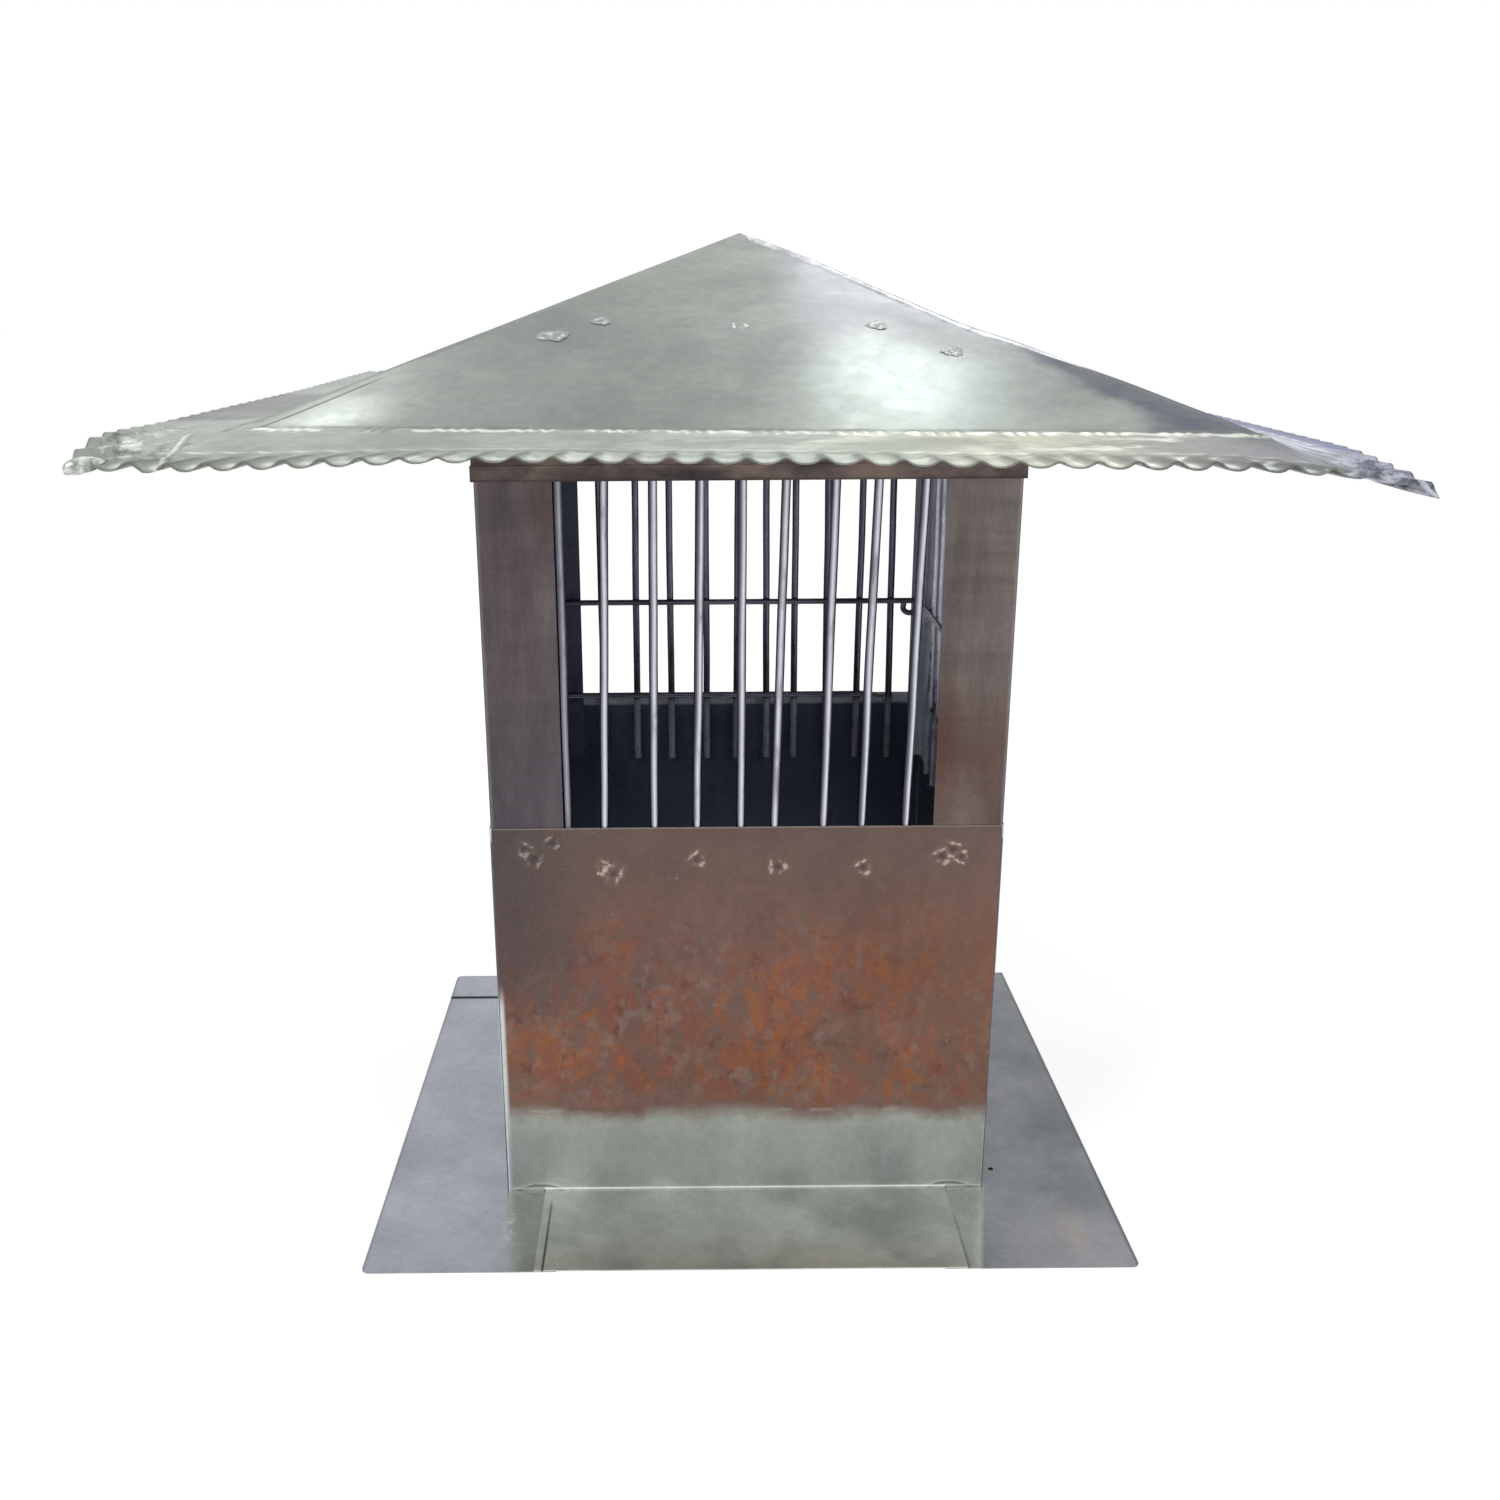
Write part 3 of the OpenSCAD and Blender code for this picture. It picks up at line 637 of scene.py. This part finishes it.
def crimp_wave(t):
    """One crimp along the eave: a wide lobe that hangs down, and a narrower crest beside it."""
    c = math.cos(2 * math.pi * t)
    return 0.5 * (c + 0.4 * (c * c - 1))


def eave_lift(side, w):
    """How far the eave is bent up by hand. Side 0 is the front and 1 the right, and w runs from -1 to 1 along it."""
    if side == 0:
        lift = 0.0008 - 0.0060 * smooth_step(0.35, 1.0, -w) - 0.0012 * smooth_step(0.1, 0.4, w)
        return lift + (-0.0045 - lift) * abs(w) ** 60 if w < 0 else lift - 0.0112 * abs(w) ** 19
    if side == 1:
        return -0.003 - 0.009 * max(0, -w) ** 14
    if side == 2:
        return 0.0095 * max(0, w) ** 8 - 0.003 * max(0, -w) ** 8
    lift = 0.007 + 0.0025 * smooth_step(-0.2, -1.0, w)
    return lift + (-0.0045 - lift) * max(0, w) ** 24


def crimp_depth(side, w):
    """The crimps are shallower in the middle of the front eave and along the left one."""
    if side == 0:
        return 0.68 + 0.32 * smooth_step(0.45, 0.65, abs(w))
    return 1 - 0.85 * smooth_step(0.90, 0.60, w) if side == 3 else 1.0


def hip_sag(x, y):
    """How far the front right hip hangs through."""
    r = max(abs(x), abs(y))
    off_hip = (x + y) / 0.06
    beside = smooth_step(0.0, 0.07, x) * smooth_step(0.0, 0.07, -y)
    along = smooth_step(0.03, 0.13, r) * (1 - smooth_step(0.14, 0.22, r))
    return HIP_SAG * along * math.exp(-off_hip * off_hip) * beside


def roof_height(x, y, r, side, along):
    """Height of the roof's top at a point of the square ring of half width r."""
    w = 2 * along - 1
    z = ROOF_TOP - r * SLOPE
    z += soft_fold(r, CREASE_HALF, SLOPE, BORDER_SLOPE, 0.0020)
    z += soft_fold(r, LIP_START, BORDER_SLOPE, LIP_SLOPE, 0.0012)
    z += eave_lift(side, w) * max(0.0, (r - CREASE_HALF) / (ROOF_HALF - CREASE_HALF))
    at = along * CRIMPS + 0.5
    wave = crimp_wave(at) * crimp_depth(side, w)
    z += CRIMP_H * wave * smooth_step(LIP_START - 0.001, ROOF_HALF - 0.004, r)
    z += 0.0005 * wave * smooth_step(CREASE_HALF + 0.004, LIP_START, r)
    dash = 0.5 + 0.5 * math.sin(9.7 * at + 3 * math.sin(2.3 * at + side))
    z += 0.0011 * dash * math.exp(-(((r - CREASE_HALF - 0.001) / 0.0028) ** 2))
    z += 0.0007 * math.exp(-(((r - LIP_START) / 0.0022) ** 2))
    z += 0.0006 * ripple(x, y, 0) * smooth_step(0.02, 0.1, r) * (1 - smooth_step(0.27, 0.285, r))
    z += 0.0005 * ripple(3 * x, 3 * y, 1) * smooth_step(0.29, 0.30, r) * (1 - smooth_step(0.315, 0.324, r))
    if side == 0:
        lapped = smooth_step(LAP_AT + 0.0008, LAP_AT - 0.0008, x)
        z += 0.0010 * lapped * smooth_step(CREASE_HALF - 0.003, CREASE_HALF + 0.003, r)
    z -= hip_sag(x, y)
    sag = math.hypot(x - 0.318, y + 0.318) / 0.045
    return z - 0.0045 * math.exp(-sag * sag) * smooth_step(0.27, 0.31, r)


def ring_points(r, count):
    points = []
    for side in range(4):
        turn = Matrix.Rotation(side * math.pi / 2, 2)
        for i in range(count):
            along = i / count
            p = turn @ Vector((r * (2 * along - 1), -r))
            high = roof_height(p.x, p.y, r, side, along)
            out = 1 + 0.008 * smooth_step(0.30, 0.35, p.x) * smooth_step(0.30, 0.35, -p.y)
            points.append((p.x * out, p.y * out, high))
    return points


def roof_piece():
    coarse, fine_by = 70, 5
    fine = coarse * fine_by
    radii_in = list(np.linspace(0.006, CREASE_HALF - 0.009, 26))
    radii_out = list(np.linspace(CREASE_HALF - 0.007, CREASE_HALF + 0.007, 10)) + list(
        np.linspace(CREASE_HALF + 0.011, LIP_START - 0.006, 5)) + list(np.linspace(LIP_START - 0.004, ROOF_HALF, 15))
    points, faces = [(0, 0, ROOF_TOP)], []
    starts = []
    for r in radii_in:
        starts.append(len(points))
        points += ring_points(r, coarse)
    n = 4 * coarse
    faces += fan_faces(starts[0], n)
    for a, b in zip(starts, starts[1:]):
        faces += loop_faces(a, b, n)
    last = starts[-1]
    starts = []
    for r in radii_out:
        starts.append(len(points))
        points += ring_points(r, fine)
    m = 4 * fine
    for i in range(n):
        run = [starts[0] + (i * fine_by + k) % m for k in range(fine_by + 1)]
        faces.append([last + i] + run + [last + (i + 1) % n])
    for a, b in zip(starts, starts[1:]):
        faces += loop_faces(a, b, m)
    piece = mesh_piece("roof_sheet", points, faces, roof_zinc)
    rings = [0.0] + [r for r in radii_in for _ in range(n)] + [r for r in radii_out for _ in range(m)]
    eave = [crimp_wave(i % fine / fine * CRIMPS + 0.5) for i in range(m)]
    waves = [0.0] * (1 + n * len(radii_in)) + eave * len(radii_out)
    give_number(piece, "ring", rings)
    give_number(piece, "crimp", waves)
    thick = piece.modifiers.new("thickness", "SOLIDIFY")
    thick.thickness, thick.offset = SHEET, -1
    applied(piece)
    piece.data.transform(ROOF_SET)
    return piece


def hip_seam():
    """The front sheet's edge, folded over the front right hip."""
    section = [(0.0062, 0.0000), (0.0057, 0.0005), (0.0048, 0.0007), (0.0020, 0.0008),
               (-0.0002, 0.0010), (-0.0012, 0.0004), (-0.0014, -0.0005)]
    start, length, rows = 0.006, 0.205, 90
    points, faces = [], []
    for k in range(rows):
        r = start + length * k / (rows - 1)
        uneven = 1 + 0.12 * math.sin(41 * r + 1) + 0.07 * math.sin(137 * r)
        thin = smooth_step(1.0, 0.75, k / (rows - 1)) * smooth_step(0.0, 0.05, k / (rows - 1))
        for inward, lift in section:
            x, y = r - max(0, inward) * uneven * (0.3 + 0.7 * thin), -(r - max(0, -inward))
            ring = max(abs(x), abs(y))
            points.append((x, y, roof_height(x, y, ring, 0, (x / ring + 1) / 2) + lift * thin))
    n = len(section)
    for k in range(rows - 1):
        faces += [(k * n + i, k * n + i + 1, (k + 1) * n + i + 1, (k + 1) * n + i) for i in range(n - 1)]
    faces += [tuple(range(n)), tuple(reversed(range((rows - 1) * n, rows * n)))]
    piece = mesh_piece("hip_seam", points, faces, seam_zinc)
    piece.data.transform(ROOF_SET)
    return piece


def tip_bead():
    """The front left tip, where both eaves are rolled up into a bead."""
    points, faces = [], []
    rings, spokes = 14, 18
    for k in range(rings + 1):
        share = k / rings
        middle = Vector((-0.3535 + 0.020 * share, -0.3500 + 0.002 * share, 0.0 + 0.0035 * share))
        radius = 0.0056 * math.sqrt(max(0.02, 1 - (2 * share**0.8 - 1) ** 2)) * (1 - 0.45 * share)
        for i in range(spokes):
            a = 2 * math.pi * i / spokes
            wobble = 1 + 0.10 * math.sin(2 * a + 6 * share) + 0.06 * math.sin(5 * a + 11 * share)
            across, up = radius * wobble * math.cos(a), radius * wobble * math.sin(a)
            points.append(middle + Vector((0.0010 * math.cos(a), across, up)))
    for k in range(rings):
        faces += loop_faces(k * spokes, (k + 1) * spokes, spokes)
    faces += [tuple(range(spokes)), tuple(reversed(range(rings * spokes, (rings + 1) * spokes)))]
    piece = mesh_piece("tip_bead", points, faces, tip_zinc)
    low = roof_height(-ROOF_HALF, -ROOF_HALF, ROOF_HALF, 0, 0.0)
    piece.data.transform(ROOF_SET @ Matrix.Translation((0, 0, low)))
    return piece


def collar_piece():
    """The collar, with its flange bent along where the hip hangs through."""
    made = new_object("collar_sheet", frame["nodes"]["top_collar"].data.copy())
    unset = ROOF_SET.inverted()
    for v in made.data.vertices:
        if v.co.z > WINDOW_TOP + 0.03:
            at = unset @ v.co
            v.co.z -= 1.1 * hip_sag(at.x, at.y)
    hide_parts("top_collar")
    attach(made, "root")


collar_piece()
roof = roof_piece()
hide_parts("roof")
for piece in (roof, hip_seam(), tip_bead()):
    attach(piece, "root")

# Bars and welds, grown by Geometry Nodes


class Grower(Nodes):
    """A Geometry Nodes tree that is built step by step and run on a mesh of points or lines."""

    def __init__(self, name):
        super().__init__(bpy.data.node_groups.new(name, "GeometryNodeTree"))
        self.tree.interface.new_socket("Geometry", in_out="INPUT", socket_type="NodeSocketGeometry")
        self.tree.interface.new_socket("Geometry", in_out="OUTPUT", socket_type="NodeSocketGeometry")
        self.source = self.tree.nodes.new("NodeGroupInput")
        self.sockets = {}

    def size(self, label, value):
        socket = self.tree.interface.new_socket(label, in_out="INPUT", socket_type="NodeSocketFloat")
        socket.default_value = value
        self.sockets[label] = socket.identifier
        return next(s for s in self.source.outputs if s.identifier == socket.identifier)

    def close(self, geometry, material):
        real = self.out("GeometryNodeRealizeInstances", {0: geometry})
        done = self.out("GeometryNodeSetMaterial", {"Geometry": real, "Material": material})
        self.tree.links.new(done, self.tree.nodes.new("NodeGroupOutput").inputs[0])

    def run(self, piece, **sizes):
        modifier = piece.modifiers.new("grow", "NODES")
        modifier.node_group = self.tree
        for label, value in sizes.items():
            modifier[self.sockets[label]] = value
        return applied(piece)


def bar_grower():
    """Bars along lines, a little bent by hand."""
    grower = Grower("bars")
    radius, sway = grower.size("radius", BAR_R), grower.size("sway", BAR_SWAY)
    curve = grower.out("GeometryNodeMeshToCurve", {0: grower.source.outputs[0]})
    curve = grower.out("GeometryNodeResampleCurve", {"Curve": curve, "Count": 21})
    at = grower.out("GeometryNodeInputPosition")
    noise = grower.node("ShaderNodeTexNoise", {"Vector": at, "Scale": 9.0, "Detail": 1.0}).outputs["Color"]
    centred = grower.out("ShaderNodeVectorMath", {0: noise, 1: (0.5, 0.5, 0.5)}, operation="SUBTRACT")
    pushed = grower.out("ShaderNodeVectorMath", {0: centred, "Scale": sway}, operation="SCALE")
    curve = grower.out("GeometryNodeSetPosition", {"Geometry": curve, "Offset": pushed})
    ring = grower.out("GeometryNodeCurvePrimitiveCircle", {"Resolution": 20, "Radius": radius})
    tube = grower.out("GeometryNodeCurveToMesh", {"Curve": curve, "Profile Curve": ring, "Fill Caps": True})
    facing = grower.out("ShaderNodeSeparateXYZ", {0: grower.out("GeometryNodeInputNormal")})
    store = grower.node("GeometryNodeStoreNamedAttribute", {"Geometry": tube, "Name": "across"},
                        data_type="FLOAT", domain="POINT")
    grower.feed(next(s for s in store.inputs if s.name == "Value" and s.enabled), facing)
    grower.close(store.outputs[0], bar_steel)
    return grower


def bead_grower():
    """Uneven weld beads on points."""
    grower = Grower("weld_beads")
    radius = grower.size("radius", BEAD_R)
    ball = grower.out("GeometryNodeMeshIcoSphere", {"Radius": radius, "Subdivisions": 3})
    squash = {0: (0.8, 0.8, 0.6), 1: (1.25, 1.1, 1.1), "Seed": 7}
    squash = grower.out("FunctionNodeRandomValue", squash, data_type="FLOAT_VECTOR")
    placed = grower.out("GeometryNodeInstanceOnPoints", {
        "Points": grower.source.outputs[0], "Instance": ball, "Scale": squash})
    real = grower.out("GeometryNodeRealizeInstances", {0: placed})
    at = grower.out("GeometryNodeInputPosition")
    noise = grower.node("ShaderNodeTexNoise", {"Vector": at, "Scale": 400.0, "Detail": 2.0}).outputs["Fac"]
    centred = grower.math("SUBTRACT", noise, 0.5)
    lump = grower.math("MULTIPLY", centred, 0.0030)
    normal = grower.out("GeometryNodeInputNormal")
    offset = grower.out("ShaderNodeVectorMath", {0: normal, "Scale": lump}, operation="SCALE")
    rough = grower.out("GeometryNodeSetPosition", {"Geometry": real, "Offset": offset})
    grower.close(rough, weld_bead)
    return grower


SIDE_TURNS = {"front": 0, "right": 90, "back": 180, "left": 270}
WALL_LAP, COLLAR_LAP = 0.060, 0.050
BAR_LOW, BAR_HIGH = WALL_TOP - WALL_LAP, WINDOW_TOP + COLLAR_LAP
END_REACH = 0.004


def bar_line(node, turn):
    """Foot and head of a bar, from the ends of its node, turned back to the front."""
    mesh = frame["nodes"][node].data
    back = Matrix.Rotation(-turn, 3, "Z")
    points = [back @ v.co for v in mesh.vertices]
    low = [p for p in points if p.z < BAR_LOW + END_REACH]
    high = [p for p in points if p.z > BAR_HIGH - END_REACH]
    middle = lambda group: (max(p.x for p in group) + min(p.x for p in group)) / 2
    return middle(low), middle(high)


def bars_of(side):
    turn = math.radians(SIDE_TURNS[side])
    names = sorted((n for n in frame["nodes"] if n.startswith(side + "_bar_")), key=lambda n: int(n.split("_")[-1]))
    forward = Matrix.Rotation(turn, 4, "Z")
    lines, points, edges = [], [], []
    for name in names:
        low, high = bar_line(name, turn)
        lines.append((low, high))
        edges.append((len(points), len(points) + 1))
        points += [Vector((low, -BAR_Y, BAR_LOW)), Vector((high, -BAR_Y, BAR_HIGH))]
    mesh = bpy.data.meshes.new(side + "_bars")
    mesh.from_pydata([forward @ p for p in points], edges, [])
    piece = new_object(side + "_bars", mesh)
    bar_tree.run(piece, radius=BAR_R, sway=BAR_SWAY)
    piece.data.shade_smooth()
    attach(piece, "root")
    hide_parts(*names)
    return lines


def crossings(side, lines, height):
    """Points where a ring rod crosses a side's bars."""
    forward = Matrix.Rotation(math.radians(SIDE_TURNS[side]), 3, "Z")
    share = (height - BAR_LOW) / (BAR_HIGH - BAR_LOW)
    middle = (BAR_Y + ROD_Y) / 2 + 0.0008
    return [forward @ Vector((low + (high - low) * share, -middle, height)) for low, high in lines]


bar_tree, bead_tree = bar_grower(), bead_grower()
welds = []
for side in SIDE_TURNS:
    lines = bars_of(side)
    if side != "front":
        welds += crossings(side, lines, UPPER_ROD_Z)
    if side == "back":
        welds += [p for p in crossings(side, lines, LOWER_ROD_Z) if p.x < 0.12]
beads = mesh_piece("rod_welds", welds, [])
bead_tree.run(beads, radius=BEAD_R)
beads.data.shade_smooth()
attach(beads, "root")

# Spot welds on the sheets


def crater(radius, height, rings=9, spokes=36):
    """A spot weld: an uneven raised ring with a dented middle, lying in XY, and its height from 0 to 1."""
    points, faces, heights = [(0, 0, 0.00005)], [], [-0.5]
    for k in range(1, rings + 1):
        share = k / rings
        for i in range(spokes):
            a = 2 * math.pi * i / spokes
            ragged = 1 + 0.12 * math.sin(3 * a + 0.7) + 0.08 * math.sin(7 * a + 2.0)
            r = radius * share * (ragged if k > 2 else 1)
            broken = max(0.0, 0.55 + 0.45 * math.sin(2 * a + 1.0) + 0.3 * math.sin(5 * a))
            rim = math.exp(-(((share - 0.56) / 0.19) ** 2)) * broken * (1 - share**6)
            points.append((r * math.cos(a), r * math.sin(a), height * rim * (1 - share**8) + 0.00006 * (1 - share)))
            heights.append(rim - 0.5 * math.exp(-((share / 0.3) ** 2)))
    faces += fan_faces(1, spokes)
    for k in range(rings - 1):
        faces += loop_faces(1 + k * spokes, 1 + (k + 1) * spokes, spokes)
    return points, faces, heights


def mark_grower(name, stamp, material):
    """Stamps on points, each turned and sized on its own."""
    grower = Grower(name)
    size = grower.size("size", 1.0)
    source = grower.node("GeometryNodeObjectInfo", {"Object": stamp}).outputs["Geometry"]
    low, high = grower.math("MULTIPLY", size, 0.7), grower.math("MULTIPLY", size, 1.25)
    scale = grower.node("FunctionNodeRandomValue", {2: low, 3: high, "Seed": 5}, data_type="FLOAT").outputs[1]
    turn = grower.node("FunctionNodeRandomValue", {2: 0.0, 3: 6.28, "Seed": 11}, data_type="FLOAT").outputs[1]
    angles = grower.out("ShaderNodeCombineXYZ", {2: turn})
    placed = grower.out("GeometryNodeInstanceOnPoints", {
        "Points": grower.source.outputs[0], "Instance": source, "Rotation": angles, "Scale": scale})
    grower.close(placed, material)
    return grower


def spot_welds(name, places, radius, height, to_sheet, material):
    points, faces, heights = crater(radius, height)
    stamp = mesh_piece(name + "_stamp", points, faces)
    give_number(stamp, "rim", heights)
    tree = mark_grower(name, stamp, material)
    piece = mesh_piece(name, [(x, y, 0) for x, y in places], [])
    tree.run(piece, size=1.0)
    bpy.data.objects.remove(stamp)
    piece.data.transform(to_sheet)
    piece.data.shade_smooth()
    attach(piece, "root")


# Places on the front wall as X and Z
FAINT_WELDS = [(-0.152, 0.270), (-0.146, 0.263), (-0.133, 0.275)]
WALL_WELDS = [(-0.098, 0.256), (-0.092, 0.252), (-0.034, 0.262), (0.021, 0.256), (0.080, 0.255),
              (0.134, 0.263), (0.141, 0.268), (0.147, 0.262)]
upright = Matrix.Translation((0, -HALF - SHEET, 0)) @ Matrix.Rotation(math.pi / 2, 4, "X")
spot_welds("left_wall_welds", FAINT_WELDS, 0.0078, 0.0003, upright, faint_scar)
spot_welds("wall_welds", WALL_WELDS, 0.0082, 0.0006, upright, wall_scar)

# Places on the roof's front as X and the distance from the axis
ROOF_WELDS = [(-0.1226, 0.167), (-0.1158, 0.166), (-0.0893, 0.145), (-0.0021, 0.151), (0.0852, 0.149), (0.1281, 0.185)]
tilt = math.atan(SLOPE)
on_roof = ROOF_SET @ Matrix.Translation((0, 0, ROOF_TOP)) @ Matrix.Rotation(tilt, 4, "X")
roof_places = [(x, -y / math.cos(tilt)) for x, y in ROOF_WELDS]
spot_welds("roof_welds", roof_places, 0.0062, 0.00022, on_roof, roof_scar)


def hole_shade():
    """The dark at the bottom of the nail hole."""
    finish = Finish("hole_dark", metallic=0.0, roughness=1.0)
    finish.shader.inputs["Base Color"].default_value = paint(10, 10, 12)
    at_x, at_y, radius, spokes = 0.186, -0.153, 0.0019, 24
    turns = [2 * math.pi * i / spokes for i in range(spokes)]
    points = [(at_x + radius * math.cos(a), at_y + radius * math.sin(a), z)
              for z in (0.0001, 0.0005) for a in turns]
    faces = [tuple(reversed(range(spokes))), tuple(range(spokes, 2 * spokes))]
    faces += [(i, (i + 1) % spokes, spokes + (i + 1) % spokes, spokes + i) for i in range(spokes)]
    piece = mesh_piece("nail_hole_dark", points, faces, finish.material, smooth=False)
    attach(piece, "root")


hole_shade()

# Stage

FLOOR_HALF = 30


def seen_rays(tree):
    """1 for the rays that the camera sends out, and those that go on from metal or glass."""
    path = tree.node("ShaderNodeLightPath").outputs
    seen = tree.math("MAXIMUM", path["Is Camera Ray"], path["Is Glossy Ray"])
    return tree.math("MAXIMUM", seen, path["Is Transmission Ray"])


def stage():
    mesh = bpy.data.meshes.new("floor")
    mesh.from_pydata([(x * FLOOR_HALF, y * FLOOR_HALF, 0) for x, y in ((-1, -1), (1, -1), (1, 1), (-1, 1))],
                     [], [(0, 1, 2, 3)])
    floor = new_object("floor", mesh)
    floor.location.z = -0.0002
    material = bpy.data.materials.new("pale_floor")
    material.use_nodes = True
    tree = Nodes(material.node_tree)
    shader = tree.tree.nodes["Principled BSDF"]
    shader.inputs["Base Color"].default_value = (0.74, 0.74, 0.74, 1)
    shader.inputs["Roughness"].default_value = 0.9
    glow = tree.out("ShaderNodeEmission", {"Strength": 0.65})
    black = tree.out("ShaderNodeEmission", {"Strength": 0.0})
    pick = tree.out("ShaderNodeMixShader", {0: seen_rays(tree), 1: black, 2: glow})
    add = tree.out("ShaderNodeAddShader", {0: shader.outputs[0], 1: pick})
    tree.feed(tree.tree.nodes["Material Output"].inputs[0], add)
    mesh.materials.append(material)


def world():
    """White where it is seen or mirrored, and softer as a light."""
    made = bpy.data.worlds.new("studio")
    bpy.context.scene.world = made
    made.use_nodes = True
    tree = Nodes(made.node_tree)
    background = made.node_tree.nodes["Background"]
    background.inputs["Color"].default_value = (1, 1, 1, 1)
    level = tree.out("ShaderNodeMapRange", {"Value": seen_rays(tree), "To Min": 0.40, "To Max": 1.0})
    tree.feed(background.inputs["Strength"], level)


def lamp(name, place, aim, size, power):
    light = bpy.data.lights.new(name, "AREA")
    light.shape, light.size, light.size_y, light.energy = "RECTANGLE", size[0], size[1], power
    made = new_object(name, light)
    made.location = place
    made.rotation_mode = "QUATERNION"
    made.rotation_quaternion = (Vector(aim) - Vector(place)).to_track_quat("-Z", "Y")


def camera():
    yaw, pitch, roll = 0.002, 0.302, -0.007
    place, photo_px, focal_px, middle_px = (-0.0411, -1.1118, 0.6319), 1500, 1464.1, 688.85
    forward = Vector((math.sin(yaw) * math.cos(pitch), math.cos(yaw) * math.cos(pitch), -math.sin(pitch)))
    right = Vector((math.cos(yaw), -math.sin(yaw), 0))
    up = right.cross(forward)
    across = math.cos(roll) * right + math.sin(roll) * up
    upward = -math.sin(roll) * right + math.cos(roll) * up
    data = bpy.data.cameras.new("camera")
    data.sensor_width, data.lens = 36.0, focal_px / photo_px * 36
    data.shift_x = (photo_px / 2 - middle_px) / photo_px
    made = new_object("camera", data)
    axes = Matrix((across, upward, -forward)).transposed()
    made.matrix_world = Matrix.Translation(place) @ axes.to_4x4()
    bpy.context.scene.camera = made


stage()
world()
lamp("left_key", (-2.6, -2.2, 2.6), (0, 0, 0.35), (1.6, 1.6), 42)
lamp("right_fill", (2.8, -1.6, 1.6), (0, 0, 0.35), (1.4, 1.8), 24)
lamp("roof_gleam", (0.39, 1.3, 2.35), (0.085, -0.24, 0.58), (0.16, 0.20), 1.9)
lamp("left_gleam", (-0.84, 1.44, 2.45), (-0.241, -0.262, 0.57), (0.14, 0.10), 1.1)
camera()
bpy.context.scene.view_settings.view_transform = "Standard"
